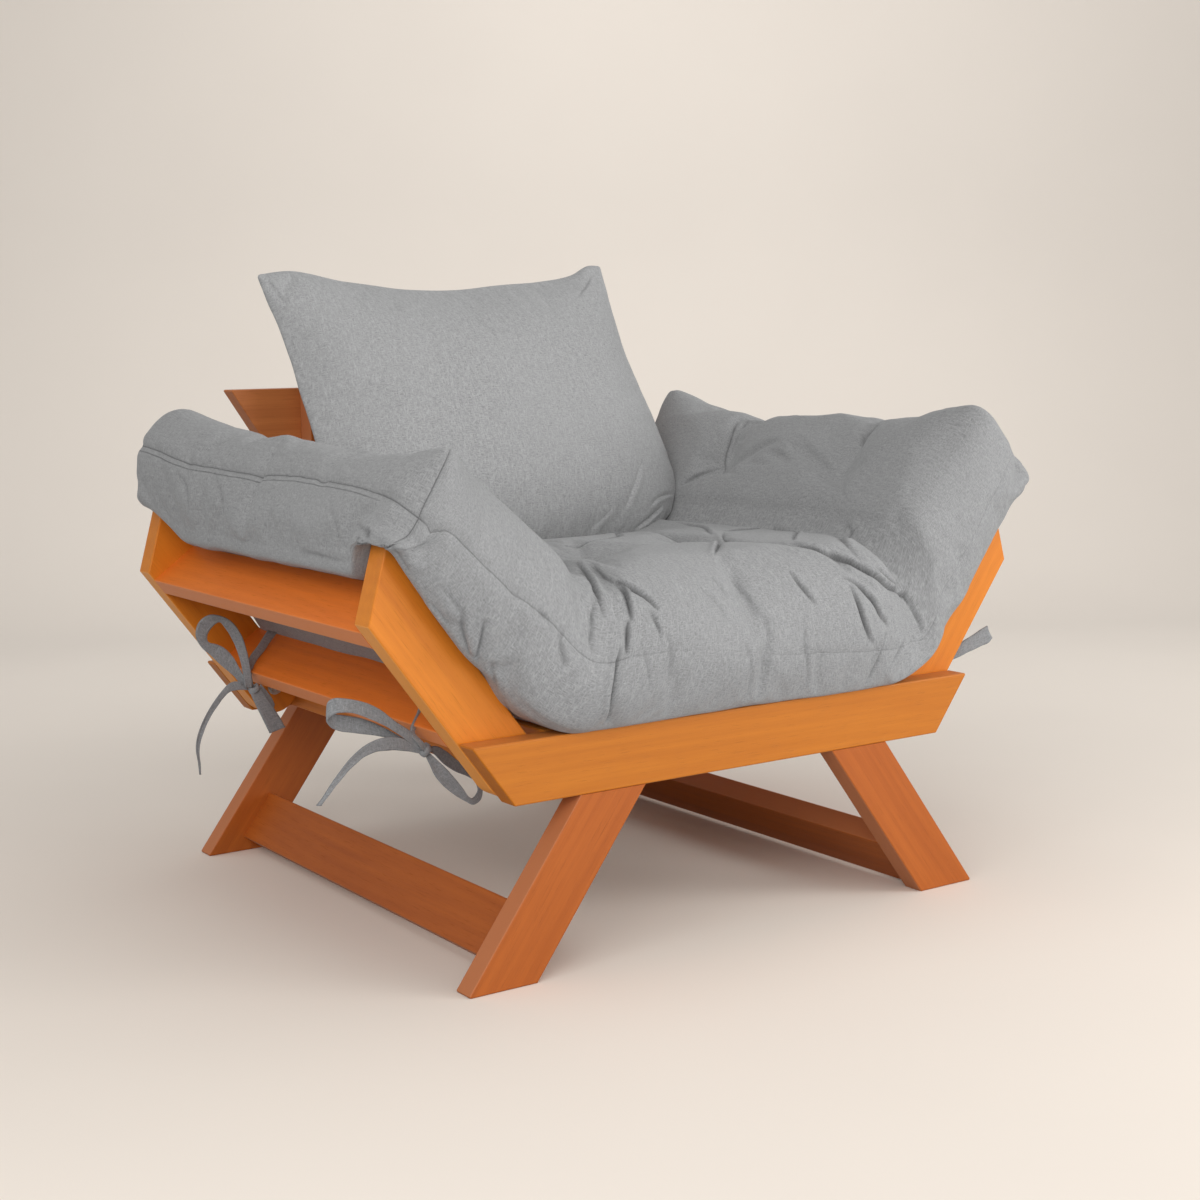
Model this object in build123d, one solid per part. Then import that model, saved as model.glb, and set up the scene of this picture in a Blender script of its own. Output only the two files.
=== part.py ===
from build123d import *
import os
from math import acos, cos, degrees, pi, radians, sin, tan

# A low lounge chair: two splayed leg frames, a slatted seat, two arm frames that
# swing down to seat height, a fixed back, one long tufted mattress and a back cushion.
# X runs to the sitter's left hand side as seen from the front, Y to the back, Z up.
# While it is drawn, Y is zero at the front face of the front rail. Lengths are in
# millimetres and angles in degrees.

# Timber sizes
BOARD_THICK = 38.0
BOARD_WIDTH = 89.0
ARM_THICK = 42.0
CROSS_THICK = 30.0
EASE = 2.5

# Frame
RAIL_LENGTH = 914.0
SEAT_HEIGHT = 343.0
FRAME_DEPTH = 906.0
SLOPE = 36.5
LEG_TOP_SETBACK = 61.8
REAR_HOUSING = 8.0
STRETCHER_INSET = 39.0
FLOOR_CLEARANCE = 3.0
SLAT_LEG_CLEARANCE = 3.0

# Arm frames
ARM_LENGTH = 369.0
TIP_ANGLE = 38.0
ARM_GAP = 3.0
LOWER_CROSS_PLACE = 70.0
UPPER_CROSS_PLACE = 254.0
SWING_CLEARANCE = 6.2

# Back
BACK_HEIGHT = 806.0
CREST_LENGTH = 812.0
CREST_SLOPE = 33.0
BACK_RAIL_GAP = 88.0
POST_TOP_DROP = 8.0

# Fasteners and dowels
PIVOT_DIAMETER = 10.0
PIVOT_PLAY = 0.1
PIVOT_SEAT = 26.0
PIVOT_END = 3.0
SPACER_RADIUS = 20.0
WASHER_RADIUS = 12.5
WASHER_THICK = 2.0
NUT_ACROSS = 17.0
NUT_THICK = 9.0
FACE_PLAY = 0.3
BOLT_DIAMETER = 8.0
BOLT_HEAD_RADIUS = 10.0
BOLT_HEAD_RISE = 4.0
BOLT_END = 1.5
BOLT_NUT_ACROSS = 13.0
BOLT_NUT_THICK = 6.5
BOLT_WASHER_RADIUS = 10.5
BOLT_WASHER_THICK = 1.6
COUNTERBORE_RADIUS = 12.0
UPPER_BOLT_DROP = 25.0
LOWER_BOLT_DROP = 68.0
DOWEL_DIAMETER = 10.0
DOWEL_LENGTH = 44.0
DOWEL_SPACING = 44.0
DOWEL_PLAY = 0.1
SCREW_DIAMETER = 5.0
SCREW_LENGTH = 50.0
LEG_SCREW_LENGTH = 30.0
SCREW_HEAD_RADIUS = 4.8
SCREW_HEAD_DEPTH = 3.0
SCREW_EDGE = 24.0

# Mattress, drawn as three pads that part at the arm pivots
SOFT_GAP = 0.3
SPLIT_ANGLE = 77.0
SEAT_PAD_THICK = 220.0
SEAT_PAD_CROWN = 20.0
SEAT_PAD_FRONT = 42.0
ARM_PAD_FRONT = 14.0
ARM_PAD_THICK = 146.0
ARM_PAD_CROWN = 14.0
ARM_PAD_CREASE = 158.0
ARM_PAD_CREASE_DROP = 16.0
ARM_PAD_REACH = 105.0
ARM_PAD_DROOP = 38.0
ARM_PAD_FOOT_REACH = 17.0
ARM_PAD_END_BULGE = 18.0
ARM_PAD_CORNER_DROP = 14.0
ARM_PAD_SLUNG_BULGE = 33.0
ARM_PAD_SLUNG_FOOT = 34.0
ARM_PAD_SLUNG_RUN = 36.0
ARM_PAD_REAR_INSET = 10.0
PAD_EDGE_ROUND = 40.0
TUFT_RADIUS = 64.0
TUFT_DEPTH = 24.0
SEAT_TUFT_SPACING = 240.0
ARM_TUFT_PLACE = 300.0
TUFT_ROWS = 2
PAD_END_STEPS = 5
# Seat pad from front to rear: reach in front of the rail or before the posts, and height
NOSE_SHARES = ((0.45, 0.0), (0.85, 0.16), (1.0, 0.36), (1.0, 0.54), (0.7, 0.72), (0.12, 0.86),
               (-0.7, 0.95), (-1.9, 1.0))
HEEL_SHARES = ((-1.9, 1.0), (-0.9, 0.94), (-0.3, 0.8), (0.0, 0.6), (0.0, 0.0))
# Seat pad from the middle to the crease: place along half of the rail, and height of the crown
CROWN_SHARES = ((1.0, -1.0), (0.705, -0.1), (0.62, 0.75), (0.5, 1.0))
# Reach of each arm pad beyond its arm, from front to rear, and where it is slung between boards
LEFT_REACH_SHARES = ((0.0, 0.58), (0.15, 0.44), (0.5, 0.44), (0.8, 0.74), (1.0, 1.0))
RIGHT_REACH_SHARES = ((0.0, 0.76), (0.15, 0.6), (0.35, 0.5), (0.6, 0.49), (0.84, 0.7), (1.0, 0.9))
SLUNG_SHARES = ((0.0, 0.0), (0.05, 1.0), (0.3, 1.0), (0.55, 1.0), (0.8, 1.0), (0.9, 0.6), (1.0, 0.0))

# Back cushion
CUSHION_WIDTH = 684.0
CUSHION_HEIGHT = 504.0
CUSHION_THICK = 176.0
CUSHION_LEAN = 28.4
CUSHION_SIDE_SAG = 2.0
CUSHION_FOOT_SAG = 16.0
CUSHION_TOP_SAG = 38.0
CUSHION_FOOT_TUCK = 30.0
CUSHION_STEPS = 6
CUSHION_TURN = 13.5
CUSHION_TOUCH_SHARE = 0.92
CUSHION_CROWN_SHARE = 0.62

# Tape ties that hold the mattress to the lower cross rails of the arms
TAPE_WIDTH = 20.0
TAPE_THICK = 1.6
KNOT_WIDTH = 24.0
KNOT_DEPTH = 16.0
KNOT_ROUND = 4.0
LOOP_LENGTH = 84.0
LOOP_RADIUS = 17.0
LOOP_NECK_RADIUS = 4.0
TAIL_RADIUS = 150.0
TAIL_LENGTH = 118.0
FRONT_TIE_INSET = 150.0
REAR_TIE_INSET = 206.0
# Angles of the loops, then angle and bend of each tail, as they leave the knot
LEFT_FRONT_TIE_ANGLE = ((196, 250), ((225, -1), (285, 1)))
LEFT_REAR_TIE_ANGLE = ((128, 268), ((232, 1), (290, -1)))
RIGHT_FRONT_TIE_ANGLE = ((250, 205), ((155, 1), (280, 1)))
RIGHT_REAR_TIE_ANGLE = ((250, 205), ((232, 1), (280, 1)))

# One overrun serves every cut
OVERRUN = 5.0

RIGHT_ANGLE = 90.0

# Values that follow from the sizes above
SLOPE_SIN = sin(radians(SLOPE))
SLOPE_COS = cos(radians(SLOPE))
SLOPE_TAN = tan(radians(SLOPE))
HALF_WIDTH = BOARD_WIDTH / 2
RAIL_BOTTOM = SEAT_HEIGHT - BOARD_WIDTH
REAR_RAIL_FRONT = FRAME_DEPTH - BOARD_THICK
LAP_DEPTH = BOARD_THICK / 2
REAR_LEG_FRONT = FRAME_DEPTH - REAR_HOUSING
REAR_LEG_BACK = REAR_LEG_FRONT + BOARD_THICK
PIVOT_HEIGHT = SEAT_HEIGHT - HALF_WIDTH
PIVOT_PLACE = RAIL_LENGTH / 2 - HALF_WIDTH * SLOPE_TAN - HALF_WIDTH / SLOPE_COS
ARM_FRONT = BOARD_THICK + ARM_GAP
ARM_INSIDE = ARM_FRONT + ARM_THICK
SIDE_SLAT_FACE = PIVOT_PLACE - HALF_WIDTH - SWING_CLEARANCE
POST_OUTER_FACE = SIDE_SLAT_FACE - BOARD_THICK
POST_FRONT = REAR_RAIL_FRONT - BOARD_THICK
LEG_SPREAD = 2 * (POST_OUTER_FACE - LEG_TOP_SETBACK + SEAT_HEIGHT * SLOPE_TAN)
MIDDLE_Y = (REAR_LEG_BACK - SEAT_PAD_FRONT) / 2
ARM_FACE_LEAN = RIGHT_ANGLE - SLOPE
SPLIT_X = cos(radians(SPLIT_ANGLE))
SPLIT_Z = sin(radians(SPLIT_ANGLE))

NODES = {}


def prism(points, y_start, y_end):
    """Board whose outline lies in a plane across the chair, from front to back."""
    plane = Plane(origin=(0, y_end, 0), x_dir=(1, 0, 0), z_dir=(0, -1, 0))
    return extrude(plane * make_face(Polyline(*points, close=True)), y_end - y_start)


def eased(board, edges=None):
    """Break the sharp edges of a board."""
    return fillet(board.edges() if edges is None else edges, EASE)


def rod(x, z, y_start, y_end, radius):
    """Round bar along Y."""
    plane = Plane(origin=(x, y_end, z), x_dir=(1, 0, 0), z_dir=(0, -1, 0))
    return extrude(plane * Circle(radius), y_end - y_start)


def hexagon(x, z, y_start, y_end, across):
    """Hexagonal nut blank along Y, by its size across flats."""
    plane = Plane(origin=(x, y_end, z), x_dir=(1, 0, 0), z_dir=(0, -1, 0))
    return extrude(plane * RegularPolygon(across / 2, 6, major_radius=False), y_end - y_start)


def both_sides(solid):
    """The solid and its mirror image on the other side of the chair."""
    return [solid, mirror(solid, about=Plane.YZ)]


def left_and_right(name, solid):
    """Keep a solid for the left side and its mirror image for the right."""
    NODES["left_" + name], NODES["right_" + name] = both_sides(solid)


def cut(board, tools):
    """Take a list of tools out of a board, which stays one solid."""
    for tool in tools:
        board = board - tool
    return board


def arm_point(along, across):
    """Place on the left arm: along its slope from the pivot, and across towards the seat."""
    x = -PIVOT_PLACE - along * SLOPE_SIN + across * SLOPE_COS
    return x, PIVOT_HEIGHT + along * SLOPE_COS + across * SLOPE_SIN


def leg_point(along, across):
    """Place on a left leg: up its outer edge from the floor, and across inwards."""
    x = -LEG_SPREAD / 2 + along * SLOPE_SIN + across * SLOPE_COS
    return x, along * SLOPE_COS - across * SLOPE_SIN


def leg_edge(height):
    """X of a left leg's outer edge at a height."""
    return -LEG_SPREAD / 2 + height * SLOPE_TAN


def leg_outline(bottom, top):
    """Sloping outline of a left leg between two heights."""
    across = BOARD_WIDTH / SLOPE_COS
    low, high = leg_edge(bottom), leg_edge(top)
    return [(low, bottom), (low + across, bottom), (high + across, top), (high, top)]


def rail_outline(length, bottom, top, end_tan):
    """Board outline that is longest at the top, with both ends cut at a slope."""
    half, rise = length / 2, (top - bottom) * end_tan
    return [(-half, top), (half, top), (half - rise, bottom), (rise - half, bottom)]


def dowel_pair(x, z, dx, dz, y_face):
    """Two dowels across a butt joint at y_face, spaced about a centre along a direction."""
    return [
        rod(x + side * dx * DOWEL_SPACING / 2, z + side * dz * DOWEL_SPACING / 2,
            y_face - DOWEL_LENGTH / 2, y_face + DOWEL_LENGTH / 2, DOWEL_DIAMETER / 2)
        for side in (-1, 1)
    ]


def bores_for(dowels):
    """Dowel holes, a little wider and deeper than the dowels."""
    return [offset(dowel, DOWEL_PLAY, kind=Kind.INTERSECTION) for dowel in dowels]


def wood_screw(x, z, y_head, length, towards):
    """Countersunk screw along Y, flush with the face it is driven into."""
    tip = y_head + towards * length
    shank = rod(x, z, min(y_head, tip), max(y_head, tip), SCREW_DIAMETER / 2)
    plane = Plane(origin=(x, y_head, z), x_dir=(1, 0, 0), z_dir=(0, towards, 0))
    rim = plane * Circle(SCREW_HEAD_RADIUS)
    neck = plane.offset(SCREW_HEAD_DEPTH) * Circle(SCREW_DIAMETER / 2)
    return shank + loft([rim.faces()[0], neck.faces()[0]])


def leg_screw_places():
    """Places of the two screws that hold each lapped front leg, left side."""
    places = []
    for height in (RAIL_BOTTOM + SCREW_EDGE, SEAT_HEIGHT - SCREW_EDGE):
        places.append((leg_edge(height) + HALF_WIDTH / SLOPE_COS, height))
    return places


def frame_bolt_places():
    """Places of the long bolts through post, rear rail and rear leg, left side."""
    places = []
    for drop in (UPPER_BOLT_DROP, LOWER_BOLT_DROP):
        z = SEAT_HEIGHT - drop
        inner = min(leg_edge(z) + BOARD_WIDTH / SLOPE_COS, -POST_OUTER_FACE + BOARD_WIDTH)
        outer = max(leg_edge(z), -POST_OUTER_FACE)
        places.append(((inner + outer) / 2, z))
    return places


def slat_places():
    """Centres of the left seat slats: one by the arm, one whose dowels just clear the leg."""
    upper_dowel = (SEAT_HEIGHT + RAIL_BOTTOM + DOWEL_SPACING) / 2
    leg_inside = leg_edge(upper_dowel) + BOARD_WIDTH / SLOPE_COS
    middle = leg_inside + (DOWEL_DIAMETER / 2 + SLAT_LEG_CLEARANCE) / SLOPE_COS
    return [BOARD_THICK / 2 - SIDE_SLAT_FACE, middle]


def slat_dowels():
    """Dowels of the seat slats at both rails, left side."""
    middle = (SEAT_HEIGHT + RAIL_BOTTOM) / 2
    return [
        dowel
        for x in slat_places()
        for y_face in (BOARD_THICK, REAR_RAIL_FRONT)
        for dowel in dowel_pair(x, middle, 0, 1, y_face)
    ]


def pivot_bore(y_start, y_end, play):
    """Bore for a left pivot bolt."""
    return rod(-PIVOT_PLACE, PIVOT_HEIGHT, y_start, y_end, PIVOT_DIAMETER / 2 + play)


def make_rails():
    """Front and rear seat rails with their laps, housings and bores."""
    outline = rail_outline(RAIL_LENGTH, RAIL_BOTTOM, SEAT_HEIGHT, SLOPE_TAN)
    lap = prism(leg_outline(RAIL_BOTTOM, SEAT_HEIGHT), LAP_DEPTH, BOARD_THICK)
    front_tools = [lap, pivot_bore(BOARD_THICK - PIVOT_SEAT, BOARD_THICK, 0)]
    front_tools += [wood_screw(x, z, BOARD_THICK, LEG_SCREW_LENGTH, -1) for x, z in leg_screw_places()]
    housing = prism(leg_outline(RAIL_BOTTOM, SEAT_HEIGHT), REAR_LEG_FRONT, FRAME_DEPTH)
    rear_tools = [housing, pivot_bore(REAR_RAIL_FRONT, REAR_RAIL_FRONT + PIVOT_SEAT, 0)]
    rear_tools += [rod(x, z, POST_FRONT, REAR_LEG_BACK, BOLT_DIAMETER / 2) for x, z in frame_bolt_places()]
    dowels = bores_for(slat_dowels())
    front = eased(prism(outline, 0, BOARD_THICK))
    rear = eased(prism(outline, REAR_RAIL_FRONT, FRAME_DEPTH))
    for tool in front_tools + dowels:
        front = cut(front, both_sides(tool))
    for tool in rear_tools + dowels:
        rear = cut(rear, both_sides(tool))
    NODES["front_rail"], NODES["rear_rail"] = front, rear


def stretcher_dowels():
    """Dowels at both ends of the left stretcher."""
    low = stretcher_start()
    x, z = leg_point(low + HALF_WIDTH, STRETCHER_INSET + BOARD_THICK / 2)
    pairs = dowel_pair(x, z, SLOPE_SIN, SLOPE_COS, BOARD_THICK)
    return pairs + dowel_pair(x, z, SLOPE_SIN, SLOPE_COS, REAR_LEG_FRONT)


def stretcher_start():
    """Distance up the leg slope at which the stretcher clears the floor."""
    inner = STRETCHER_INSET + BOARD_THICK
    return (FLOOR_CLEARANCE + inner * SLOPE_SIN) / SLOPE_COS


def make_legs():
    """Four splayed legs; the front pair is lapped into its rail, the rear pair housed."""
    outline = leg_outline(0, SEAT_HEIGHT)
    front = eased(prism(outline, 0, BOARD_THICK))
    lap = prism(leg_outline(RAIL_BOTTOM, SEAT_HEIGHT + OVERRUN), -OVERRUN, LAP_DEPTH)
    screws = [wood_screw(x, z, BOARD_THICK, LEG_SCREW_LENGTH, -1) for x, z in leg_screw_places()]
    front = cut(front, [lap] + screws + bores_for(stretcher_dowels()))
    rear = eased(prism(outline, REAR_LEG_FRONT, REAR_LEG_BACK))
    bores = [rod(x, z, POST_FRONT, REAR_LEG_BACK, BOLT_DIAMETER / 2) for x, z in frame_bolt_places()]
    sunk = bolt_nut_depth()
    bores += [rod(x, z, REAR_LEG_BACK - sunk, REAR_LEG_BACK + OVERRUN, COUNTERBORE_RADIUS)
              for x, z in frame_bolt_places()]
    rear = cut(rear, bores + bores_for(stretcher_dowels()))
    left_and_right("front_leg", front)
    left_and_right("rear_leg", rear)


def bolt_nut_depth():
    """Depth of the counterbore that hides a washer, a nut and the bolt's end."""
    return BOLT_WASHER_THICK + BOLT_NUT_THICK + BOLT_END


def make_stretchers():
    """Boards between the front and rear legs, lying in the slope of the legs."""
    low = stretcher_start()
    corners = [(low, 0), (low, BOARD_THICK), (low + BOARD_WIDTH, BOARD_THICK), (low + BOARD_WIDTH, 0)]
    points = [leg_point(along, STRETCHER_INSET + across) for along, across in corners]
    board = prism(points, BOARD_THICK, REAR_LEG_FRONT)
    board = eased(board, board.edges().filter_by(Axis.Y))
    left_and_right("stretcher", cut(board, bores_for(stretcher_dowels())))


def make_slats():
    """Seat slats on edge between the rails."""
    names = ("side_slat", "middle_slat")
    for name, x in zip(names, slat_places()):
        half = BOARD_THICK / 2
        points = [(x - half, RAIL_BOTTOM), (x + half, RAIL_BOTTOM),
                  (x + half, SEAT_HEIGHT), (x - half, SEAT_HEIGHT)]
        board = prism(points, BOARD_THICK, REAR_RAIL_FRONT)
        board = eased(board, board.edges().filter_by(Axis.Y))
        left_and_right(name, cut(board, bores_for(slat_dowels())))


def back_screw_places():
    """Heights of the two screws that hold a back rail to each post, below its top."""
    return SCREW_EDGE, BOARD_WIDTH - SCREW_EDGE


def back_rail_tops():
    """Top heights of the crest and of the lower back rail."""
    return BACK_HEIGHT, BACK_HEIGHT - BOARD_WIDTH - BACK_RAIL_GAP


def back_screws():
    """Screws from the front of the left post into the back rails."""
    x = -POST_OUTER_FACE + HALF_WIDTH
    return [
        wood_screw(x, top - drop, POST_FRONT, SCREW_LENGTH, 1)
        for top in back_rail_tops()
        for drop in back_screw_places()
    ]


def make_back():
    """Two posts on the rear rail and two back rails behind them."""
    end_tan = tan(radians(CREST_SLOPE))
    outer = -POST_OUTER_FACE
    points = [(outer, RAIL_BOTTOM), (outer + BOARD_WIDTH, RAIL_BOTTOM),
              (outer + BOARD_WIDTH, BACK_HEIGHT - POST_TOP_DROP), (outer, BACK_HEIGHT - POST_TOP_DROP)]
    post = eased(prism(points, POST_FRONT, REAR_RAIL_FRONT))
    bores = [rod(x, z, POST_FRONT, REAR_LEG_BACK, BOLT_DIAMETER / 2) for x, z in frame_bolt_places()]
    heads = [bolt_head(x, z) for x, z in frame_bolt_places()]
    left_and_right("back_post", cut(post, bores + heads + back_screws()))
    tops = back_rail_tops()
    for name, top in zip(("crest_rail", "lower_back_rail"), tops):
        length = CREST_LENGTH - 2 * (tops[0] - top) * end_tan
        outline = rail_outline(length, top - BOARD_WIDTH, top, end_tan)
        rail = eased(prism(outline, REAR_RAIL_FRONT, FRAME_DEPTH))
        for screw in back_screws():
            rail = cut(rail, both_sides(screw))
        NODES[name] = rail


def bolt_head(x, z):
    """Low domed head of a frame bolt, let in flush with the post's front face."""
    plane = Plane(origin=(x, POST_FRONT, z), x_dir=(1, 0, 0), z_dir=(0, 1, 0))
    rim = plane * Circle(BOLT_HEAD_RADIUS)
    neck = plane.offset(BOLT_HEAD_RISE) * Circle(BOLT_DIAMETER / 2)
    return loft([rim.faces()[0], neck.faces()[0]])


def make_fasteners():
    """Screws, bolts, nuts and dowels of the fixed frame, alike ones in one node."""
    floor = REAR_LEG_BACK - bolt_nut_depth()
    nut_start = floor + BOLT_WASHER_THICK
    bolts, washers, nuts = [], [], []
    for x, z in frame_bolt_places():
        shank = rod(x, z, POST_FRONT, nut_start + BOLT_NUT_THICK + BOLT_END, BOLT_DIAMETER / 2)
        bolts.append(shank + bolt_head(x, z))
        hole = rod(x, z, floor, nut_start + BOLT_NUT_THICK, BOLT_DIAMETER / 2)
        washers.append(rod(x, z, floor, nut_start, BOLT_WASHER_RADIUS) - hole)
        nuts.append(hexagon(x, z, nut_start, nut_start + BOLT_NUT_THICK, BOLT_NUT_ACROSS) - hole)
    leg_screws = [wood_screw(x, z, BOARD_THICK, LEG_SCREW_LENGTH, -1) for x, z in leg_screw_places()]
    groups = {"frame_bolts": bolts, "frame_bolt_washers": washers, "frame_bolt_nuts": nuts,
              "front_leg_screws": leg_screws, "back_rail_screws": back_screws(),
              "slat_dowels": slat_dowels(), "stretcher_dowels": stretcher_dowels()}
    for name, solids in groups.items():
        NODES[name] = Compound([copy for solid in solids for copy in both_sides(solid)])


def make_pivots():
    """Hanger bolts, spacers, washers and lock nuts on which the arms swing."""
    bolts, spacers, washers, nuts = [], [], [], []
    x, z = -PIVOT_PLACE, PIVOT_HEIGHT
    length = PIVOT_SEAT + ARM_GAP + ARM_THICK + FACE_PLAY + WASHER_THICK + NUT_THICK + PIVOT_END
    for face, towards in ((BOARD_THICK, 1), (REAR_RAIL_FRONT, -1)):
        def span(start, end, radius):
            ends = sorted((face + towards * start, face + towards * end))
            return rod(x, z, ends[0], ends[1], radius)
        bolts.append(span(-PIVOT_SEAT, length - PIVOT_SEAT, PIVOT_DIAMETER / 2))
        bore = span(0, length, PIVOT_DIAMETER / 2)
        spacers.append(span(0, ARM_GAP - FACE_PLAY, SPACER_RADIUS) - bore)
        inside = ARM_GAP + ARM_THICK + FACE_PLAY
        washers.append(span(inside, inside + WASHER_THICK, WASHER_RADIUS) - bore)
        inside += WASHER_THICK
        ends = sorted((face + towards * inside, face + towards * (inside + NUT_THICK)))
        nuts.append(hexagon(x, z, ends[0], ends[1], NUT_ACROSS) - bore)
    groups = {"pivot_bolts": bolts, "pivot_spacers": spacers, "pivot_washers": washers, "pivot_nuts": nuts}
    for name, solids in groups.items():
        NODES[name] = Compound([copy for solid in solids for copy in both_sides(solid)])


def cross_dowels(place):
    """Dowels at both ends of an arm cross rail, left side."""
    x, z = arm_point(place + CROSS_THICK / 2, 0)
    front = dowel_pair(x, z, SLOPE_COS, SLOPE_SIN, ARM_INSIDE)
    return front + dowel_pair(x, z, SLOPE_COS, SLOPE_SIN, FRAME_DEPTH - ARM_INSIDE)


def make_arms():
    """Each arm frame: two side boards with a rounded heel and two cross rails on edge."""
    heel = ThreePointArc(arm_point(0, -HALF_WIDTH), arm_point(-HALF_WIDTH, 0), arm_point(0, HALF_WIDTH))
    short = ARM_LENGTH - BOARD_WIDTH * tan(radians(TIP_ANGLE))
    sides = Polyline(arm_point(0, HALF_WIDTH), arm_point(ARM_LENGTH, HALF_WIDTH),
                     arm_point(short, -HALF_WIDTH), arm_point(0, -HALF_WIDTH))
    dowels = cross_dowels(LOWER_CROSS_PLACE) + cross_dowels(UPPER_CROSS_PLACE)
    holes = bores_for(dowels)
    for name, start in (("arm_front_board", ARM_FRONT), ("arm_rear_board", FRAME_DEPTH - ARM_INSIDE)):
        plane = Plane(origin=(0, start + ARM_THICK, 0), x_dir=(1, 0, 0), z_dir=(0, -1, 0))
        board = extrude(plane * make_face([heel] + sides.edges()), ARM_THICK)
        board = eased(board)
        bore = pivot_bore(start - OVERRUN, start + ARM_THICK + OVERRUN, PIVOT_PLAY)
        left_and_right(name, cut(board, [bore] + holes))
    places = (LOWER_CROSS_PLACE, UPPER_CROSS_PLACE)
    for name, place in zip(("arm_lower_cross_rail", "arm_upper_cross_rail"), places):
        corners = [(place, -HALF_WIDTH), (place, HALF_WIDTH), (place + CROSS_THICK, HALF_WIDTH),
                   (place + CROSS_THICK, -HALF_WIDTH)]
        board = prism([arm_point(*corner) for corner in corners], ARM_INSIDE, FRAME_DEPTH - ARM_INSIDE)
        board = eased(board, board.edges().filter_by(Axis.Y))
        left_and_right(name, cut(board, holes))
    NODES["left_arm_dowels"] = Compound(dowels)
    NODES["right_arm_dowels"] = Compound([mirror(dowel, about=Plane.YZ) for dowel in dowels])


def across_plane(y):
    """Plane across the chair at a depth, with X to the right and Z up."""
    return Plane(origin=(0, y, 0), x_dir=(1, 0, 0), z_dir=(0, -1, 0))


def split_half(outside):
    """Everything on one side of the left split plane, less half of the soft gap."""
    reach = RAIL_LENGTH + BACK_HEIGHT
    normal = (-SPLIT_Z, 0, SPLIT_X) if outside else (SPLIT_Z, 0, -SPLIT_X)
    plane = Plane(origin=(-PIVOT_PLACE, FRAME_DEPTH / 2, PIVOT_HEIGHT), x_dir=(0, 1, 0), z_dir=normal)
    align = (Align.CENTER, Align.CENTER, Align.MIN)
    return plane.offset(SOFT_GAP / 2) * Box(reach, reach, reach, align=align)


def above_arm():
    """Everything above the inner edge of the raised left arm, by the soft gap."""
    reach = RAIL_LENGTH + BACK_HEIGHT
    x, z = arm_point(0, HALF_WIDTH + SOFT_GAP)
    plane = Plane(origin=(x, FRAME_DEPTH / 2, z), x_dir=(0, 1, 0), z_dir=(SLOPE_COS, 0, SLOPE_SIN))
    return plane * Box(reach, reach, reach, align=(Align.CENTER, Align.CENTER, Align.MIN))


def tuft(x, y, z, lean):
    """Ball that presses a shallow dimple into a pad whose face leans by an angle."""
    rise = TUFT_RADIUS - TUFT_DEPTH
    return Pos(x + rise * sin(radians(lean)), y, z + rise * cos(radians(lean))) * Sphere(TUFT_RADIUS)


def tuft_rows():
    """Depths of the rows of tufts, evenly spread over the pad."""
    step = (POST_FRONT + SEAT_PAD_FRONT) / (TUFT_ROWS + 1)
    return [step * (row + 1) - SEAT_PAD_FRONT for row in range(TUFT_ROWS)]


def seat_profile():
    """Outline of the seat pad from front to rear: a full nose over the rail, a rounded heel."""
    rear = POST_FRONT - SOFT_GAP
    low = SEAT_HEIGHT + SOFT_GAP
    nose = [(-SEAT_PAD_FRONT * reach, low + SEAT_PAD_THICK * height) for reach, height in NOSE_SHARES]
    heel = [(rear + SEAT_PAD_FRONT * reach, low + SEAT_PAD_THICK * height) for reach, height in HEEL_SHARES]
    return nose + heel


def seat_crown():
    """Outline of the seat pad across the chair: level in the middle, lower at the creases."""
    low = SEAT_HEIGHT + SOFT_GAP
    side = low + SEAT_PAD_THICK - SEAT_PAD_CROWN
    half = [(RAIL_LENGTH / 2 * place, side + SEAT_PAD_CROWN * height) for place, height in CROWN_SHARES]
    return [(RAIL_LENGTH / 2, low)] + half + [(-x, z) for x, z in reversed(half)] + [(-RAIL_LENGTH / 2, low)]


def make_seat_pad():
    """Middle of the mattress, between the two split planes."""
    side_plane = Plane(origin=(-RAIL_LENGTH / 2, 0, 0), x_dir=(0, 1, 0), z_dir=(1, 0, 0))
    pad = extrude(side_plane * make_face(Polyline(*seat_profile(), close=True)), RAIL_LENGTH)
    pad = pad & prism(seat_crown(), -SEAT_PAD_FRONT - OVERRUN, FRAME_DEPTH)
    keep = split_half(False)
    above = above_arm()
    pad = pad & keep & mirror(keep, about=Plane.YZ) & above & mirror(above, about=Plane.YZ)
    for y in tuft_rows():
        z = SEAT_HEIGHT + SEAT_PAD_THICK
        for x in (-SEAT_TUFT_SPACING / 2, SEAT_TUFT_SPACING / 2):
            pad = pad - tuft(x, y, z, 0)
    NODES["mattress_seat"] = pad


def share_at(table, place):
    """Value of a table of shares at a place, on a straight line between its rows."""
    for (start, low), (end, high) in zip(table, table[1:]):
        if place <= end:
            return low + (high - low) * (place - start) / (end - start)
    return table[-1][1]


def arm_pad_stations(front, rear):
    """Depths, insets and slung shares of an arm pad's sections."""
    turns = [pi / 2 * step / PAD_END_STEPS for step in range(PAD_END_STEPS)]
    rounds = [(PAD_EDGE_ROUND * (1 - cos(turn)), PAD_EDGE_ROUND * (1 - sin(turn))) for turn in turns]
    start, end = ARM_INSIDE + SOFT_GAP, FRAME_DEPTH - ARM_INSIDE - SOFT_GAP
    middle = [(start + (end - start) * place, 0, slung) for place, slung in SLUNG_SHARES]
    heads = [(front + inward, inset, 0) for inward, inset in rounds]
    return heads + middle + [(rear - inward, inset, 0) for inward, inset in reversed(rounds)]


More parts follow.
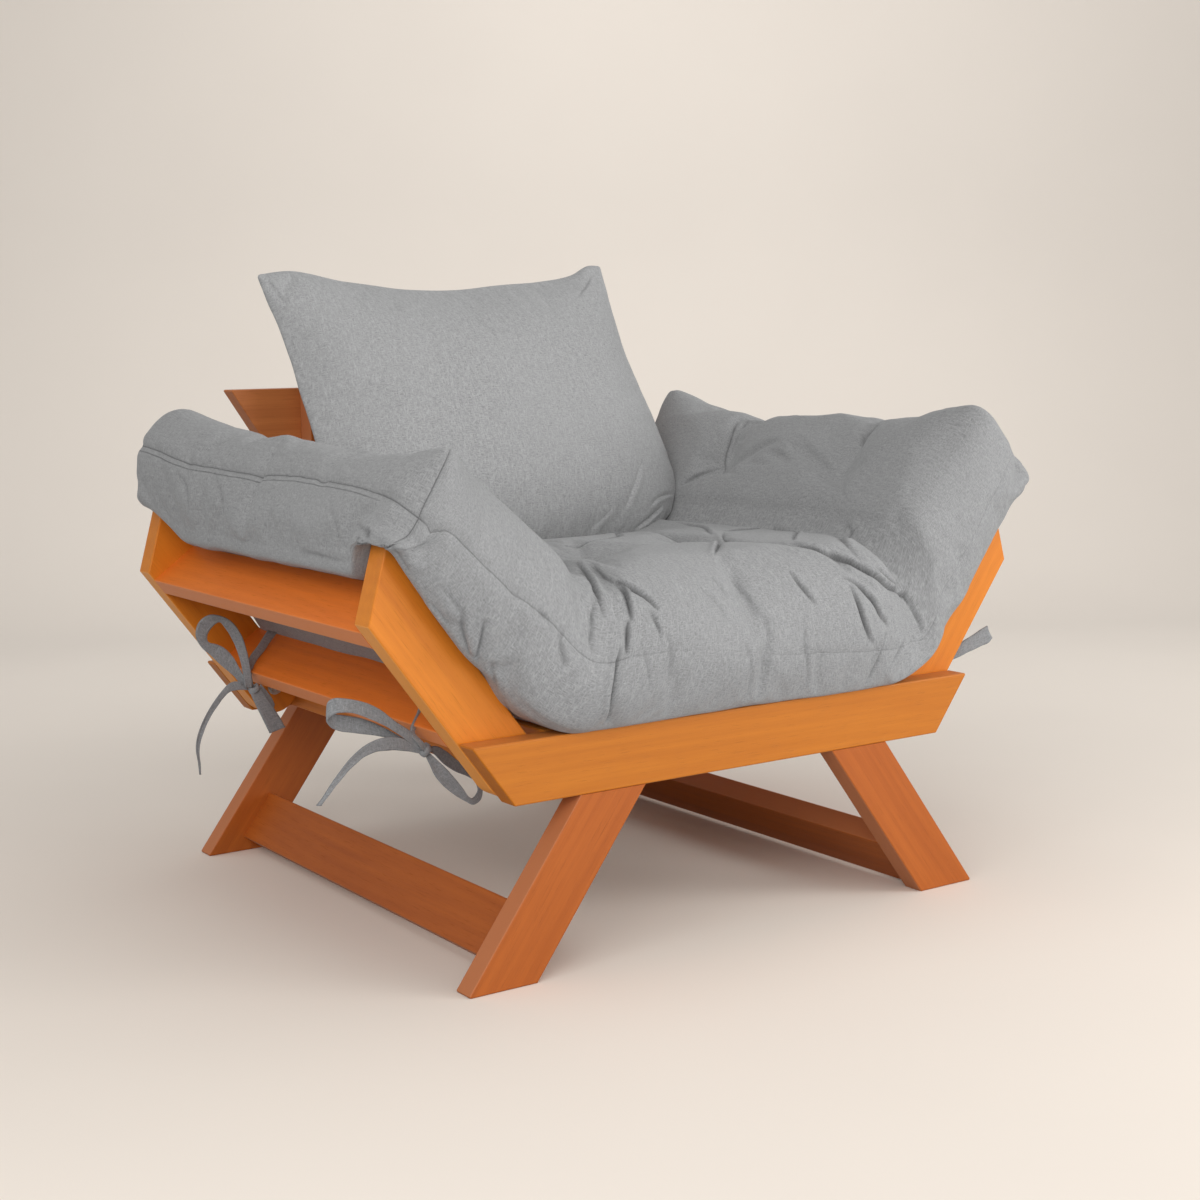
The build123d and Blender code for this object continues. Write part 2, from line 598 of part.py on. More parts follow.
def arm_underside(reach_end, inset, slung):
    """Underside of an arm pad: along the boards and over their tips, or slung between them."""
    low = HALF_WIDTH + SOFT_GAP
    tip = ARM_LENGTH + SOFT_GAP + EASE
    cross = UPPER_CROSS_PLACE + CROSS_THICK + SOFT_GAP
    foot = low - ARM_PAD_DROOP + inset
    knee = (tip + (cross + ARM_PAD_SLUNG_RUN - tip) * slung, low - (ARM_PAD_DROOP - EASE) * slung)
    foot_end = tip + ARM_PAD_FOOT_REACH - ARM_PAD_SLUNG_FOOT * slung
    return [(0, low), (cross, low), knee, (min(foot_end, reach_end - EASE), foot)]


def arm_section(y, inset, reach, slung):
    """Section of the left arm pad: on the arm's inner edge, drooping over its end."""
    top = HALF_WIDTH + ARM_PAD_THICK - inset
    crease = top - ARM_PAD_CREASE_DROP
    end = ARM_LENGTH + reach - inset
    under = arm_underside(end, inset, slung)
    foot_end, foot = under[-1]
    lines = Polyline(*[arm_point(*point) for point in [(ARM_PAD_CREASE, crease), (0, crease)] + under])
    bulge = ARM_PAD_END_BULGE + (ARM_PAD_SLUNG_BULGE - ARM_PAD_END_BULGE) * slung
    swell = arm_point((foot_end + end) / 2 + bulge, (foot + top) / 2)
    corner = arm_point(end, top - ARM_PAD_CORNER_DROP * slung)
    end_arc = ThreePointArc(arm_point(foot_end, foot), swell, corner)
    ridge = arm_point((ARM_PAD_CREASE + end) / 2, top + ARM_PAD_CROWN)
    crown = ThreePointArc(corner, ridge, arm_point(ARM_PAD_CREASE, crease))
    return (across_plane(y) * make_face(lines.edges() + [end_arc, crown])).faces()[0]


def make_arm_pad(reach_shares):
    """End of the mattress draped over the left arm."""
    rear = FRAME_DEPTH - ARM_FRONT - ARM_PAD_REAR_INSET
    sections = []
    for y, inset, slung in arm_pad_stations(-ARM_PAD_FRONT, rear):
        place = (y + ARM_PAD_FRONT) / (rear + ARM_PAD_FRONT)
        sections.append(arm_section(y, inset, ARM_PAD_REACH * share_at(reach_shares, place), slung))
    pad = loft(sections, ruled=True) & split_half(True)
    for y in tuft_rows():
        x, z = arm_point(ARM_TUFT_PLACE, HALF_WIDTH + ARM_PAD_THICK + ARM_PAD_CROWN)
        pad = pad - tuft(x, y, z, ARM_FACE_LEAN)
    return pad


def make_arm_pads():
    """Both ends of the mattress, which don't reach equally far."""
    NODES["left_mattress_arm"] = make_arm_pad(LEFT_REACH_SHARES)
    NODES["right_mattress_arm"] = mirror(make_arm_pad(RIGHT_REACH_SHARES), about=Plane.YZ)


def cushion_section(plane, share):
    """Four-sided outline of the back cushion with drawn-in sides, as a share of its full size."""
    half, tall = CUSHION_WIDTH / 2 * share, CUSHION_HEIGHT / 2 * share
    foot = half - CUSHION_FOOT_TUCK * share
    side = (foot + half) / 2 - CUSHION_SIDE_SAG * share
    low, high = CUSHION_FOOT_SAG * share - tall, tall - CUSHION_TOP_SAG * share
    corners = [(-foot, -tall), (foot, -tall), (half, tall), (-half, tall)]
    middles = [(0, low), (side, 0), (0, high), (-side, 0)]
    arcs = [ThreePointArc(corners[i], middles[i], corners[(i + 1) % 4]) for i in range(4)]
    return (plane * make_face(arcs)).faces()[0]


def make_cushion():
    """Loose square cushion that leans on the posts and stands on the mattress."""
    lean_sin, lean_cos = sin(radians(CUSHION_LEAN)), cos(radians(CUSHION_LEAN))
    rest = SEAT_HEIGHT + SEAT_PAD_THICK + 2 * SOFT_GAP
    post_top = BACK_HEIGHT - POST_TOP_DROP
    reach = CUSHION_THICK / 2 * CUSHION_TOUCH_SHARE / lean_cos
    centre_z = rest + CUSHION_HEIGHT / 2 * lean_cos
    centre_y = POST_FRONT - SOFT_GAP - reach - (post_top - centre_z) * lean_sin / lean_cos
    base = Plane(origin=(0, centre_y, centre_z), x_dir=(1, 0, 0), z_dir=(0, -lean_cos, lean_sin))
    turns = [radians(step * CUSHION_TURN) for step in range(-CUSHION_STEPS, CUSHION_STEPS + 1)]
    sections = []
    for turn in turns:
        plane = base.offset(CUSHION_THICK / 2 * sin(turn))
        sections.append(cushion_section(plane, cos(turn) ** CUSHION_CROWN_SHARE))
    NODES["back_cushion"] = loft(sections, ruled=True)


def teardrop(length, radius, neck):
    """Flat outline round a large and a small circle, pointing along X."""
    turn = acos((radius - neck) / length)
    c, s = cos(turn), sin(turn)
    sides = Polyline((neck * -c, neck * s), (length - radius * c, radius * s),
                     (length - radius * c, -radius * s), (neck * -c, -neck * s), close=True)
    return make_face(sides) + Circle(neck) + Pos(length, 0) * Circle(radius)


def tape_loop(angle):
    """Loop of tape that leaves the knot at an angle from X."""
    outer = teardrop(LOOP_LENGTH, LOOP_RADIUS, LOOP_NECK_RADIUS)
    inner = teardrop(LOOP_LENGTH, LOOP_RADIUS - TAPE_THICK, LOOP_NECK_RADIUS - TAPE_THICK)
    return Rot(0, 0, angle) * (outer - inner)


def tape_tail(angle, turn):
    """Free end of tape that leaves the knot at an angle and curves one way or the other."""
    sweep = degrees(TAIL_LENGTH / TAIL_RADIUS)
    outer, inner = TAIL_RADIUS + TAPE_THICK / 2, TAIL_RADIUS - TAPE_THICK / 2
    start = CenterArc((0, 0), outer, 0, sweep)
    back = CenterArc((0, 0), inner, 0, sweep)
    ribbon = make_face([start, back, Line(start @ 0, back @ 0), Line(start @ 1, back @ 1)])
    ribbon = Pos(-TAIL_RADIUS, 0) * ribbon
    if turn < 0:
        ribbon = mirror(ribbon, about=Plane.YZ)
    return Rot(0, 0, angle - RIGHT_ANGLE) * ribbon


def tie(y, loop_angles, tails):
    """Tape tied round the lower cross rail: strap, knot, loops and tails in one piece."""
    low, high = LOWER_CROSS_PLACE, LOWER_CROSS_PLACE + CROSS_THICK
    near, far = HALF_WIDTH - SOFT_GAP, -HALF_WIDTH
    t = TAPE_THICK
    corners = [(high, near), (high, far), (low, far), (low, near), (low - t, near), (low - t, far - t),
               (high + t, far - t), (high + t, near)]
    strap = prism([arm_point(*corner) for corner in corners], y - TAPE_WIDTH / 2, y + TAPE_WIDTH / 2)
    x, z = arm_point(low + CROSS_THICK / 2, far - KNOT_DEPTH / 2)
    knot = Pos(x, y, z) * Rot(0, ARM_FACE_LEAN, 0) * Box(KNOT_WIDTH, KNOT_WIDTH, KNOT_DEPTH)
    knot = fillet(knot.edges(), KNOT_ROUND)
    plane = Plane(origin=(x, y + TAPE_WIDTH / 2, z), x_dir=(1, 0, 0), z_dir=(0, -1, 0))
    piece = strap + knot
    for angle in loop_angles:
        piece = piece + extrude(plane * tape_loop(angle), TAPE_WIDTH)
    for angle, turn in tails:
        piece = piece + extrude(plane * tape_tail(angle, turn), TAPE_WIDTH)
    return piece


def make_ties():
    """Front and rear ties of each arm, each tied in its own bow."""
    front, rear = FRONT_TIE_INSET, FRAME_DEPTH - REAR_TIE_INSET
    NODES["left_front_tie"] = tie(front, *LEFT_FRONT_TIE_ANGLE)
    NODES["left_rear_tie"] = tie(rear, *LEFT_REAR_TIE_ANGLE)
    NODES["right_front_tie"] = mirror(tie(front, *RIGHT_FRONT_TIE_ANGLE), about=Plane.YZ)
    NODES["right_rear_tie"] = mirror(tie(rear, *RIGHT_REAR_TIE_ANGLE), about=Plane.YZ)


def write_parts():
    """Centre the chair over its middle and write one file for each node."""
    os.makedirs("parts", exist_ok=True)
    for name, solid in NODES.items():
        moved = Pos(0, -MIDDLE_Y, 0) * solid
        moved.label = name
        export_step(moved, "parts/" + name + ".step")


make_rails()
make_legs()
make_stretchers()
make_slats()
make_back()
make_fasteners()
make_pivots()
make_arms()
make_seat_pad()
make_arm_pads()
make_cushion()
make_ties()
write_parts()
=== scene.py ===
import bpy
import math
import numpy as np
from mathutils import Matrix, Vector
from mathutils.bvhtree import BVHTree


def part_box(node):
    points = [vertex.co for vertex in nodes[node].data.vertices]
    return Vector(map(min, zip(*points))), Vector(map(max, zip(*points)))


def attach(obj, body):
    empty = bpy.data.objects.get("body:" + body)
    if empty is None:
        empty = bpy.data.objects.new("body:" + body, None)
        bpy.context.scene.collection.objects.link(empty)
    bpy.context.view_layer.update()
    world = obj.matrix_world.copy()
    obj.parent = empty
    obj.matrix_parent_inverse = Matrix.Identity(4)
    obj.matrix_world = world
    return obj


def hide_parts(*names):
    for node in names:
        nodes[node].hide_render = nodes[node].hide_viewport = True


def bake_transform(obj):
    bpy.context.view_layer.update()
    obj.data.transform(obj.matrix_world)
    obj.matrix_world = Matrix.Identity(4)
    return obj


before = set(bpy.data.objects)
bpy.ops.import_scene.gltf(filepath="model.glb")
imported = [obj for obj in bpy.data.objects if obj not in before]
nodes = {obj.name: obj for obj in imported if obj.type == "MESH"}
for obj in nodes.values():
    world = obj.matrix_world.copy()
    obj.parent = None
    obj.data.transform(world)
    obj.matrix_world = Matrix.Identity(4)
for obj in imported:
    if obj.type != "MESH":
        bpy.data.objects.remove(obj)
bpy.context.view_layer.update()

# Places and angles of the frame that the soft pieces lie on, in metres
MILLI = 0.001
RAIL_FACE = -0.447
PIVOT = (0.36871, 0.2985)
ARM_SLOPE = math.radians(36.5)
SLOPE_SIN, SLOPE_COS = math.sin(ARM_SLOPE), math.cos(ARM_SLOPE)

# Camera that fits the photograph's square frame
CAMERA_PLACE = Vector((-1.679, -2.117 + RAIL_FACE, 0.871))
CAMERA_TURN, CAMERA_DIP, CAMERA_ROLL = 34.06, 7.74, -0.93
FOCAL_PIXELS, PHOTO_PIXELS = 1874.94, 1200.0
SENSOR = 36.0


def camera_axes():
    """Right, up and forward of the camera."""
    turn, dip, roll = (math.radians(v) for v in (CAMERA_TURN, CAMERA_DIP, CAMERA_ROLL))
    forward = Vector((math.sin(turn) * math.cos(dip), math.cos(turn) * math.cos(dip), -math.sin(dip)))
    level = Vector((math.cos(turn), -math.sin(turn), 0))
    upright = level.cross(forward)
    right = level * math.cos(roll) + upright * math.sin(roll)
    up = upright * math.cos(roll) - level * math.sin(roll)
    return right, up, forward


def make_camera():
    """The scene's camera, at the photograph's place and angle."""
    right, up, forward = camera_axes()
    data = bpy.data.cameras.new("camera")
    data.sensor_width = SENSOR
    data.lens = SENSOR * FOCAL_PIXELS / PHOTO_PIXELS
    camera = bpy.data.objects.new("camera", data)
    bpy.context.scene.collection.objects.link(camera)
    columns = Matrix((right, up, -forward)).transposed().to_4x4()
    camera.matrix_world = Matrix.Translation(CAMERA_PLACE) @ columns
    bpy.context.scene.camera = camera


def sight(across, down):
    """Direction from the camera through a place in the photograph's 1200 by 1200 frame."""
    right, up, forward = camera_axes()
    half = PHOTO_PIXELS / 2
    return (forward * FOCAL_PIXELS + right * (across - half) + up * (half - down)).normalized()


# Materials

class Paint:
    """A new material, with short ways to add and link its nodes."""

    def __init__(self, name):
        self.material = bpy.data.materials.new(name)
        self.material.use_nodes = True
        self.tree = self.material.node_tree
        self.shader = self.tree.nodes["Principled BSDF"]

    def feed(self, socket, value):
        """Link a socket, or give it a constant."""
        if isinstance(value, bpy.types.NodeSocket):
            self.tree.links.new(value, socket)
        else:
            socket.default_value = (*value, 1.0) if socket.type == "RGBA" else value

    def add(self, kind, settings=None, inputs=None):
        """Outputs of a new node with its properties and inputs set."""
        node = self.tree.nodes.new(kind)
        for key, value in (settings or {}).items():
            setattr(node, key, value)
        for key, value in (inputs or {}).items():
            self.feed(node.inputs[key], value)
        return node.outputs

    def maths(self, operation, a, b=0.0):
        """Result of one Math node."""
        return self.add("ShaderNodeMath", {"operation": operation}, {0: a, 1: b})[0]

    def times(self, a, b):
        """Product of two values."""
        return self.maths("MULTIPLY", a, b)

    def plus(self, first, *others):
        """Sum of several values."""
        for other in others:
            first = self.maths("ADD", first, other)
        return first

    def spread(self, value, low, high, to_low=0.0, to_high=1.0):
        """Value taken from one range to another, held at the ends."""
        return self.add("ShaderNodeMapRange", {"clamp": True},
                        {"Value": value, "From Min": low, "From Max": high,
                         "To Min": to_low, "To Max": to_high})["Result"]

    def mixed(self, share, a, b):
        """Two colours mixed by a share."""
        return self.add("ShaderNodeMix", {"data_type": "RGBA"}, {0: share, 6: a, 7: b})[2]

    def noise(self, vector, scales, detail=3.0, rough=0.55, shift=0.0):
        """Noise stretched by a scale for each axis."""
        placed = self.add("ShaderNodeMapping", None, {
            "Vector": vector, "Location": (shift, shift * 0.7, shift * 1.3), "Scale": scales})[0]
        return self.add("ShaderNodeTexNoise", None, {
            "Vector": placed, "Scale": 1.0, "Detail": detail, "Roughness": rough})["Fac"]

    def place(self, kind="Object"):
        """Coordinates of the surface."""
        return self.add("ShaderNodeTexCoord")[kind]

    def mark(self, name):
        """Value kept on the mesh's points."""
        return self.add("ShaderNodeAttribute", {"attribute_name": name})["Fac"]

    def bump(self, strength, distance, height, normal=None):
        """Normal moved by a height."""
        inputs = {"Strength": strength, "Distance": distance, "Height": height}
        if normal is not None:
            inputs["Normal"] = normal
        return self.add("ShaderNodeBump", None, inputs)[0]

    def finish(self, inputs):
        """The material, with its shader's inputs set."""
        for key, value in inputs.items():
            self.feed(self.shader.inputs[key], value)
        return self.material


def shade(tone, share):
    """A colour made lighter or darker."""
    return tuple(min(1.0, part * share) for part in tone)


RING_COUNT, RING_WANDER = 290.0, 0.110


def timber(name, along, face, stain, shift, shine=0.40):
    """Stained timber: soft figure, fine streaks and pores that run along the board, and thin edges made paler
    as a painted highlight.
    """
    light, dark, edge = stain
    paint = Paint(name)
    along, face = Vector(along).normalized(), Vector(face).normalized()
    turn = Matrix((along, face.cross(along), face)).to_euler("XYZ")
    board = paint.add("ShaderNodeMapping", None, {
        "Vector": paint.place(), "Rotation": turn, "Location": (shift, shift * 0.37, 0.0)})[0]
    facing = paint.add("ShaderNodeMapping", {"vector_type": "VECTOR"},
                       {"Vector": paint.place("Normal"), "Rotation": turn})[0]
    wander = paint.noise(board, (1.3, 5.0, 5.0), 2.0, 0.5, shift)
    streaks = paint.noise(board, (2.2, 130.0, 130.0), 6.0, 0.66, shift)
    broad = paint.noise(board, (1.6, 11.0, 11.0), 3.0, 0.5, shift + 3.0)
    clouds = paint.noise(board, (4.5, 14.0, 14.0), 3.0, 0.55, shift + 5.0)
    pores = paint.spread(paint.noise(board, (30.0, 900.0, 900.0), 2.0, 0.5, shift + 7.0), 0.60, 0.74)
    # Year rings round a heart that lies beside the board
    parts = paint.add("ShaderNodeSeparateXYZ", None, {0: board})
    across = paint.plus(parts[1], paint.times(wander, RING_WANDER))
    deep = paint.plus(parts[2], 0.12 + 0.06 * math.sin(shift * 9.1))
    radius = paint.maths("SQRT", paint.plus(paint.times(across, across), paint.times(deep, deep)))
    rings = paint.spread(paint.maths("SINE", paint.times(radius, RING_COUNT)), -1.0, 1.0)
    figure = paint.plus(paint.times(streaks, 0.46), paint.times(rings, 0.07),
                        paint.times(broad, 0.30), paint.times(clouds, 0.20))
    colour = paint.mixed(paint.spread(figure, 0.30, 0.72), dark, light)
    colour = paint.mixed(paint.times(paint.spread(clouds, 0.56, 0.78), 0.45), colour, dark)
    colour = paint.mixed(paint.times(pores, 0.30), colour, shade(dark, 0.45))
    # Painted highlight: the boards' thin edge faces are made paler, standing in for the light that falls on
    # them
    sideways = paint.add("ShaderNodeSeparateXYZ", None, {0: facing})[1]
    painted_edge_highlight = paint.spread(paint.maths("ABSOLUTE", sideways), 0.55, 0.92, 0.0, 0.85)
    height = paint.maths("SUBTRACT", paint.times(streaks, 0.35), paint.times(pores, 0.8))
    return paint.finish({
        "Base Color": paint.mixed(painted_edge_highlight, colour, edge),
        "Roughness": paint.plus(shine, paint.times(streaks, 0.12), paint.times(pores, 0.18)),
        "Specular IOR Level": 0.28, "Coat Weight": 0.06, "Coat Roughness": 0.28,
        "Normal": paint.bump(0.30, 0.0006, height)})


SEAM_MARKS = ("seam_level", "seam_slant", "seam_shown", "zip_shown")
ZIP_BELOW = 0.0085


def woven(name, tone, sewn=False):
    """Heathered plain weave on the cloth's own map, which is laid out in metres; sewn cloth also gets painted
    shade in its creases and along its seam and zip.
    """
    paint = Paint(name)
    cloth = paint.add("ShaderNodeUVMap", {"uv_map": "cloth"})[0]
    warp = paint.noise(cloth, (130.0, 560.0, 1.0), 3.0, 0.65)
    weft = paint.noise(cloth, (560.0, 130.0, 1.0), 3.0, 0.65, 5.0)
    slubs = paint.noise(cloth, (60.0, 260.0, 1.0), 2.0, 0.6, 9.0)
    faded = paint.noise(cloth, (5.0, 5.0, 1.0), 3.0, 0.5, 13.0)
    fleck = paint.spread(paint.noise(cloth, (420.0, 420.0, 1.0), 1.0, 0.5, 21.0), 0.56, 0.74)
    threads = paint.maths("MAXIMUM", paint.spread(warp, 0.34, 0.68), paint.spread(weft, 0.34, 0.68))
    colour = paint.mixed(threads, shade(tone, 0.58), shade(tone, 1.30))
    colour = paint.mixed(paint.times(paint.spread(slubs, 0.40, 0.70), 0.35), colour, tone)
    colour = paint.mixed(paint.times(fleck, 0.35), colour, shade(tone, 0.55))
    colour = paint.mixed(paint.spread(faded, 0.35, 0.65, 0.0, 0.22), colour, shade(tone, 1.12))
    normal = paint.bump(0.55, 0.0007, threads)
    if sewn:
        # Painted shade: the creases, the seam's line and, on the left end, the zip's line below it are
        # darkened in the colour, standing in for the shade in their grooves
        level, slant, shown, zipped = (paint.mark(mark) for mark in SEAM_MARKS)
        gap = paint.maths("MINIMUM", paint.maths("ABSOLUTE", level), paint.maths("ABSOLUTE", slant))
        seam = paint.times(paint.spread(gap, 0.0003, 0.0014, 1.0, 0.0), shown)
        second = paint.maths("ABSOLUTE", paint.plus(level, ZIP_BELOW))
        second = paint.times(paint.spread(second, 0.0003, 0.0012, 0.75, 0.0), zipped)
        # Painted shade in the creases
        colour = paint.mixed(paint.times(paint.mark("crease"), 0.80), colour, shade(tone, 0.16))
        # Painted shade along the seam's groove and, on the left end, the zip's groove
        line = paint.maths("MAXIMUM", seam, second)
        colour = paint.mixed(paint.times(line, 0.62), colour, shade(tone, 0.20))
        cleft = paint.times(paint.spread(gap, 0.0, 0.0028, -1.0, 0.0), shown)
        normal = paint.bump(0.9, 0.0015, paint.maths("SUBTRACT", cleft, second), normal)
    return paint.finish({"Base Color": colour, "Roughness": 0.92, "Specular IOR Level": 0.25,
                         "Sheen Weight": 0.18, "Sheen Roughness": 0.55, "Normal": normal})


def mottled(name, scales, dull, bright, roughness, metal):
    """Bare metal or plastic with fine scuffs."""
    paint = Paint(name)
    haze = paint.noise(paint.place(), scales)
    return paint.finish({"Base Color": paint.mixed(haze, dull, bright),
                         "Roughness": paint.spread(haze, *roughness), "Metallic": metal})


# Stains of the timber: light and dark of its figure, and its thin edges, whose paler colour is a painted
# highlight
HONEY = ((0.80, 0.258, 0.021), (0.63, 0.172, 0.012), (0.97, 0.400, 0.080))
# HONEY made darker for the front rail, which is the same wood: painted shade standing in for less light on
# its face
HONEY_SHADED = ((0.61, 0.196, 0.014), (0.48, 0.134, 0.008), (0.60, 0.210, 0.050))
RED = ((0.54, 0.140, 0.020), (0.38, 0.087, 0.012), (0.56, 0.200, 0.080))
BRICK = ((0.60, 0.200, 0.055), (0.43, 0.124, 0.035), (0.60, 0.235, 0.115))
# Red-orange of the cross rails, partly their own tone and partly painted light: made as bright as it goes,
# standing in for light from the lower left
LIT_RED_ORANGE = ((0.95, 0.245, 0.030), (0.76, 0.170, 0.020), (0.80, 0.275, 0.090))
BIRCH = ((0.68, 0.50, 0.30), (0.52, 0.35, 0.19), (0.66, 0.48, 0.29))
GRAIN_STEP = 1.37


def dress_frame():
    """Give every wooden and metal piece of the frame its finish."""
    steel = mottled("zinc_steel", (900.0, 900.0, 250.0), (0.38, 0.38, 0.37), (0.62, 0.61, 0.59),
                    (0.2, 0.8, 0.28, 0.48), 1.0)
    nylon = mottled("milky_nylon", (120.0, 120.0, 120.0), (0.70, 0.68, 0.62), (0.80, 0.79, 0.74),
                    (0.3, 0.7, 0.42, 0.55), 0.0)
    x, y, z = (1, 0, 0), (0, 1, 0), (0, 0, 1)
    for number, (name, node) in enumerate(sorted(nodes.items()), 1):
        side = -1.0 if name.startswith("left") else 1.0
        arm_run, leg_run = (side * SLOPE_SIN, 0, SLOPE_COS), (-side * SLOPE_SIN, 0, SLOPE_COS)
        leg_face = (side * SLOPE_COS, 0, SLOPE_SIN)
        # Word in the name, way of the grain, way that the broad face looks, and stain
        boards = (("leg", leg_run, y, RED), ("stretcher", y, leg_face, RED), ("cross_rail", y, arm_run, LIT_RED_ORANGE),
                  ("board", arm_run, y, HONEY), ("slat", y, x, HONEY), ("post", z, y, RED),
                  ("back_rail", x, y, BRICK), ("crest", x, y, BRICK), ("rail", x, y, HONEY_SHADED))
        found = [board[1:] for board in boards if board[0] in name]
        if any(word in name for word in ("bolt", "nut", "screw", "washer")):
            finish = steel
        elif "spacer" in name:
            finish = nylon
        elif "dowel" in name:
            finish = timber(name + "_birch", y, x, BIRCH, number * GRAIN_STEP, 0.5)
        elif found:
            finish = timber(name + "_timber", *found[0], number * GRAIN_STEP)
        else:
            continue
        node.data.materials.clear()
        node.data.materials.append(finish)


# Shapes of the soft pieces

def along_table(at, places, values):
    """Smooth curve through a table of values."""
    places, values = np.asarray(places, float), np.asarray(values, float)
    slopes = np.gradient(values, places)
    at = np.clip(at, places[0], places[-1])
    cell = np.clip(np.searchsorted(places, at, side="right") - 1, 0, len(places) - 2)
    step = places[cell + 1] - places[cell]
    t = (at - places[cell]) / step
    a, b = values[cell], values[cell + 1]
    ma, mb = slopes[cell] * step, slopes[cell + 1] * step
    return ((2 * t ** 3 - 3 * t ** 2 + 1) * a + (t ** 3 - 2 * t ** 2 + t) * ma
            + (3 * t ** 2 - 2 * t ** 3) * b + (t ** 3 - t ** 2) * mb)


def ramp(value, low, high):
    """Smooth step from 0 at low to 1 at high."""
    t = np.clip((np.asarray(value, float) - low) / (high - low), 0.0, 1.0)
    return t * t * (3 - 2 * t)


def block_skin(counts):
    """Points and quads on the skin of a block of cells, and which face each quad is on."""
    nx, ny, nz = counts
    i, j, k = np.meshgrid(np.arange(nx + 1), np.arange(ny + 1), np.arange(nz + 1), indexing="ij")
    skin = (i == 0) | (i == nx) | (j == 0) | (j == ny) | (k == 0) | (k == nz)
    index = -np.ones(skin.shape, int)
    index[skin] = np.arange(skin.sum())
    cells = np.stack([i[skin], j[skin], k[skin]], 1)
    sheets = [(index[:, :, nz], False, "top"), (index[:, :, 0], True, "bottom"),
              (index[:, 0, :], False, "front"), (index[:, ny, :], True, "rear"),
              (index[0, :, :], True, "left"), (index[nx, :, :], False, "right")]
    quads, faces = [], []
    for sheet, flip, face in sheets:
        quad = np.stack([sheet[:-1, :-1], sheet[1:, :-1], sheet[1:, 1:], sheet[:-1, 1:]], -1).reshape(-1, 4)
        quads.append(quad[:, ::-1] if flip else quad)
        faces += [face] * len(quad)
    return cells, np.concatenate(quads), np.array(faces)


def rounded_block(cells, counts, sizes, radius):
    """Places of the skin's points in a flat block with rounded edges."""
    sizes = np.asarray(sizes, float)
    flat = cells / np.asarray(counts, float) * sizes
    inner = np.clip(flat, radius, sizes - radius)
    out = flat - inner
    length = np.linalg.norm(out, axis=1, keepdims=True)
    return inner + out / np.maximum(length, 1e-9) * np.minimum(length, radius)


def mesh_object(name, points, quads, cloth_map=None, flat=None):
    """Mesh object from arrays, with its cloth map and its places in the flat block."""
    mesh = bpy.data.meshes.new(name)
    mesh.from_pydata([tuple(p) for p in points], [], [tuple(int(v) for v in q) for q in quads])
    mesh.update()
    if cloth_map is not None:
        layer = mesh.uv_layers.new(name="cloth")
        layer.data.foreach_set("uv", np.asarray(cloth_map, np.float32).ravel())
    if flat is not None:
        store = mesh.attributes.new("flat", "FLOAT_VECTOR", "POINT")
        store.data.foreach_set("vector", np.asarray(flat, np.float32).ravel())
    mesh.polygons.foreach_set("use_smooth", np.ones(len(mesh.polygons), bool))
    piece = bpy.data.objects.new(name, mesh)
    bpy.context.scene.collection.objects.link(piece)
    return piece


def vectors(data, key):
    """A vector for each of a mesh's points, as an array."""
    out = np.empty(len(data) * 3)
    data.foreach_get(key, out)
    return out.reshape(-1, 3)


def points_of(piece):
    """Mesh points."""
    return vectors(piece.data.vertices, "co")


def normals_of(piece):
    """Normals at the mesh's points."""
    return vectors(piece.data.vertex_normals, "vector")


def flat_of(piece):
    """Places of the mesh's points in the flat block."""
    return vectors(piece.data.attributes["flat"].data, "vector")


def set_points(piece, points):
    """Put an array back as the mesh's points."""
    piece.data.vertices.foreach_set("co", np.asarray(points, np.float32).ravel())
    piece.data.update()


def keep_mark(piece, name, values):
    """Keep a value for each point, which the material reads."""
    mark = piece.data.attributes.new(name, "FLOAT", "POINT")
    mark.data.foreach_set("value", np.asarray(values, np.float32))


def settle(piece):
    """Replace a mesh by what its modifiers make of it."""
    graph = bpy.context.evaluated_depsgraph_get()
    made = bpy.data.meshes.new_from_object(piece.evaluated_get(graph), depsgraph=graph)
    piece.modifiers.clear()
    piece.data = made


def subdivide(piece, levels):
    """Smooth subdivision, made part of the mesh."""
    modifier = piece.modifiers.new("smooth", "SUBSURF")
    modifier.levels = modifier.render_levels = levels
    settle(piece)


def inflate(piece, pins, slack, cap=0.024, pressure=4.0, frames=20, stiffness=15.0, bending=0.6):
    """Blow a cloth skin up between its pins, then hold every point within a distance of its start."""
    start = points_of(piece)
    group = piece.vertex_groups.new(name="pins")
    group.add([int(v) for v in np.nonzero(pins)[0]], 1.0, "REPLACE")
    cloth = piece.modifiers.new("cloth", "CLOTH")
    settings = cloth.settings
    settings.quality = 6
    settings.mass = 0.3
    settings.air_damping = 4.0
    settings.tension_stiffness = settings.compression_stiffness = stiffness
    settings.shear_stiffness = stiffness / 3
    settings.bending_stiffness = bending
    settings.vertex_group_mass = "pins"
    settings.pin_stiffness = 1.0
    settings.shrink_min = -slack
    settings.use_pressure = True
    settings.uniform_pressure_force = pressure
    settings.effector_weights.gravity = 0.0
    cloth.collision_settings.use_collision = False
    cloth.collision_settings.use_self_collision = False
    cloth.point_cache.frame_start, cloth.point_cache.frame_end = 1, frames
    for number in range(1, frames + 1):
        bpy.context.scene.frame_set(number)
    settle(piece)
    bpy.context.scene.frame_set(1)
    moved = points_of(piece) - start
    length = np.linalg.norm(moved, axis=1, keepdims=True)
    set_points(piece, start + moved * np.minimum(1.0, cap / np.maximum(length, 1e-9)))
    piece.vertex_groups.clear()


# Folds, each found by the line of sight through a few places in the photograph's frame

# Depth of crease that gets the full painted shade in the cloth's colour, and the least width of a crease's
# sharp line
DEEP_CREASE, THIN_CREASE = 0.0075, 0.0023
FOLD_DEPTH, FOLD_WIDTH = 1.15, 0.78


def skin_tree(piece):
    """Search tree over a mesh, for lines of sight and nearest points."""
    faces = [tuple(face.vertices) for face in piece.data.polygons]
    return BVHTree.FromPolygons([v.co.copy() for v in piece.data.vertices], faces)


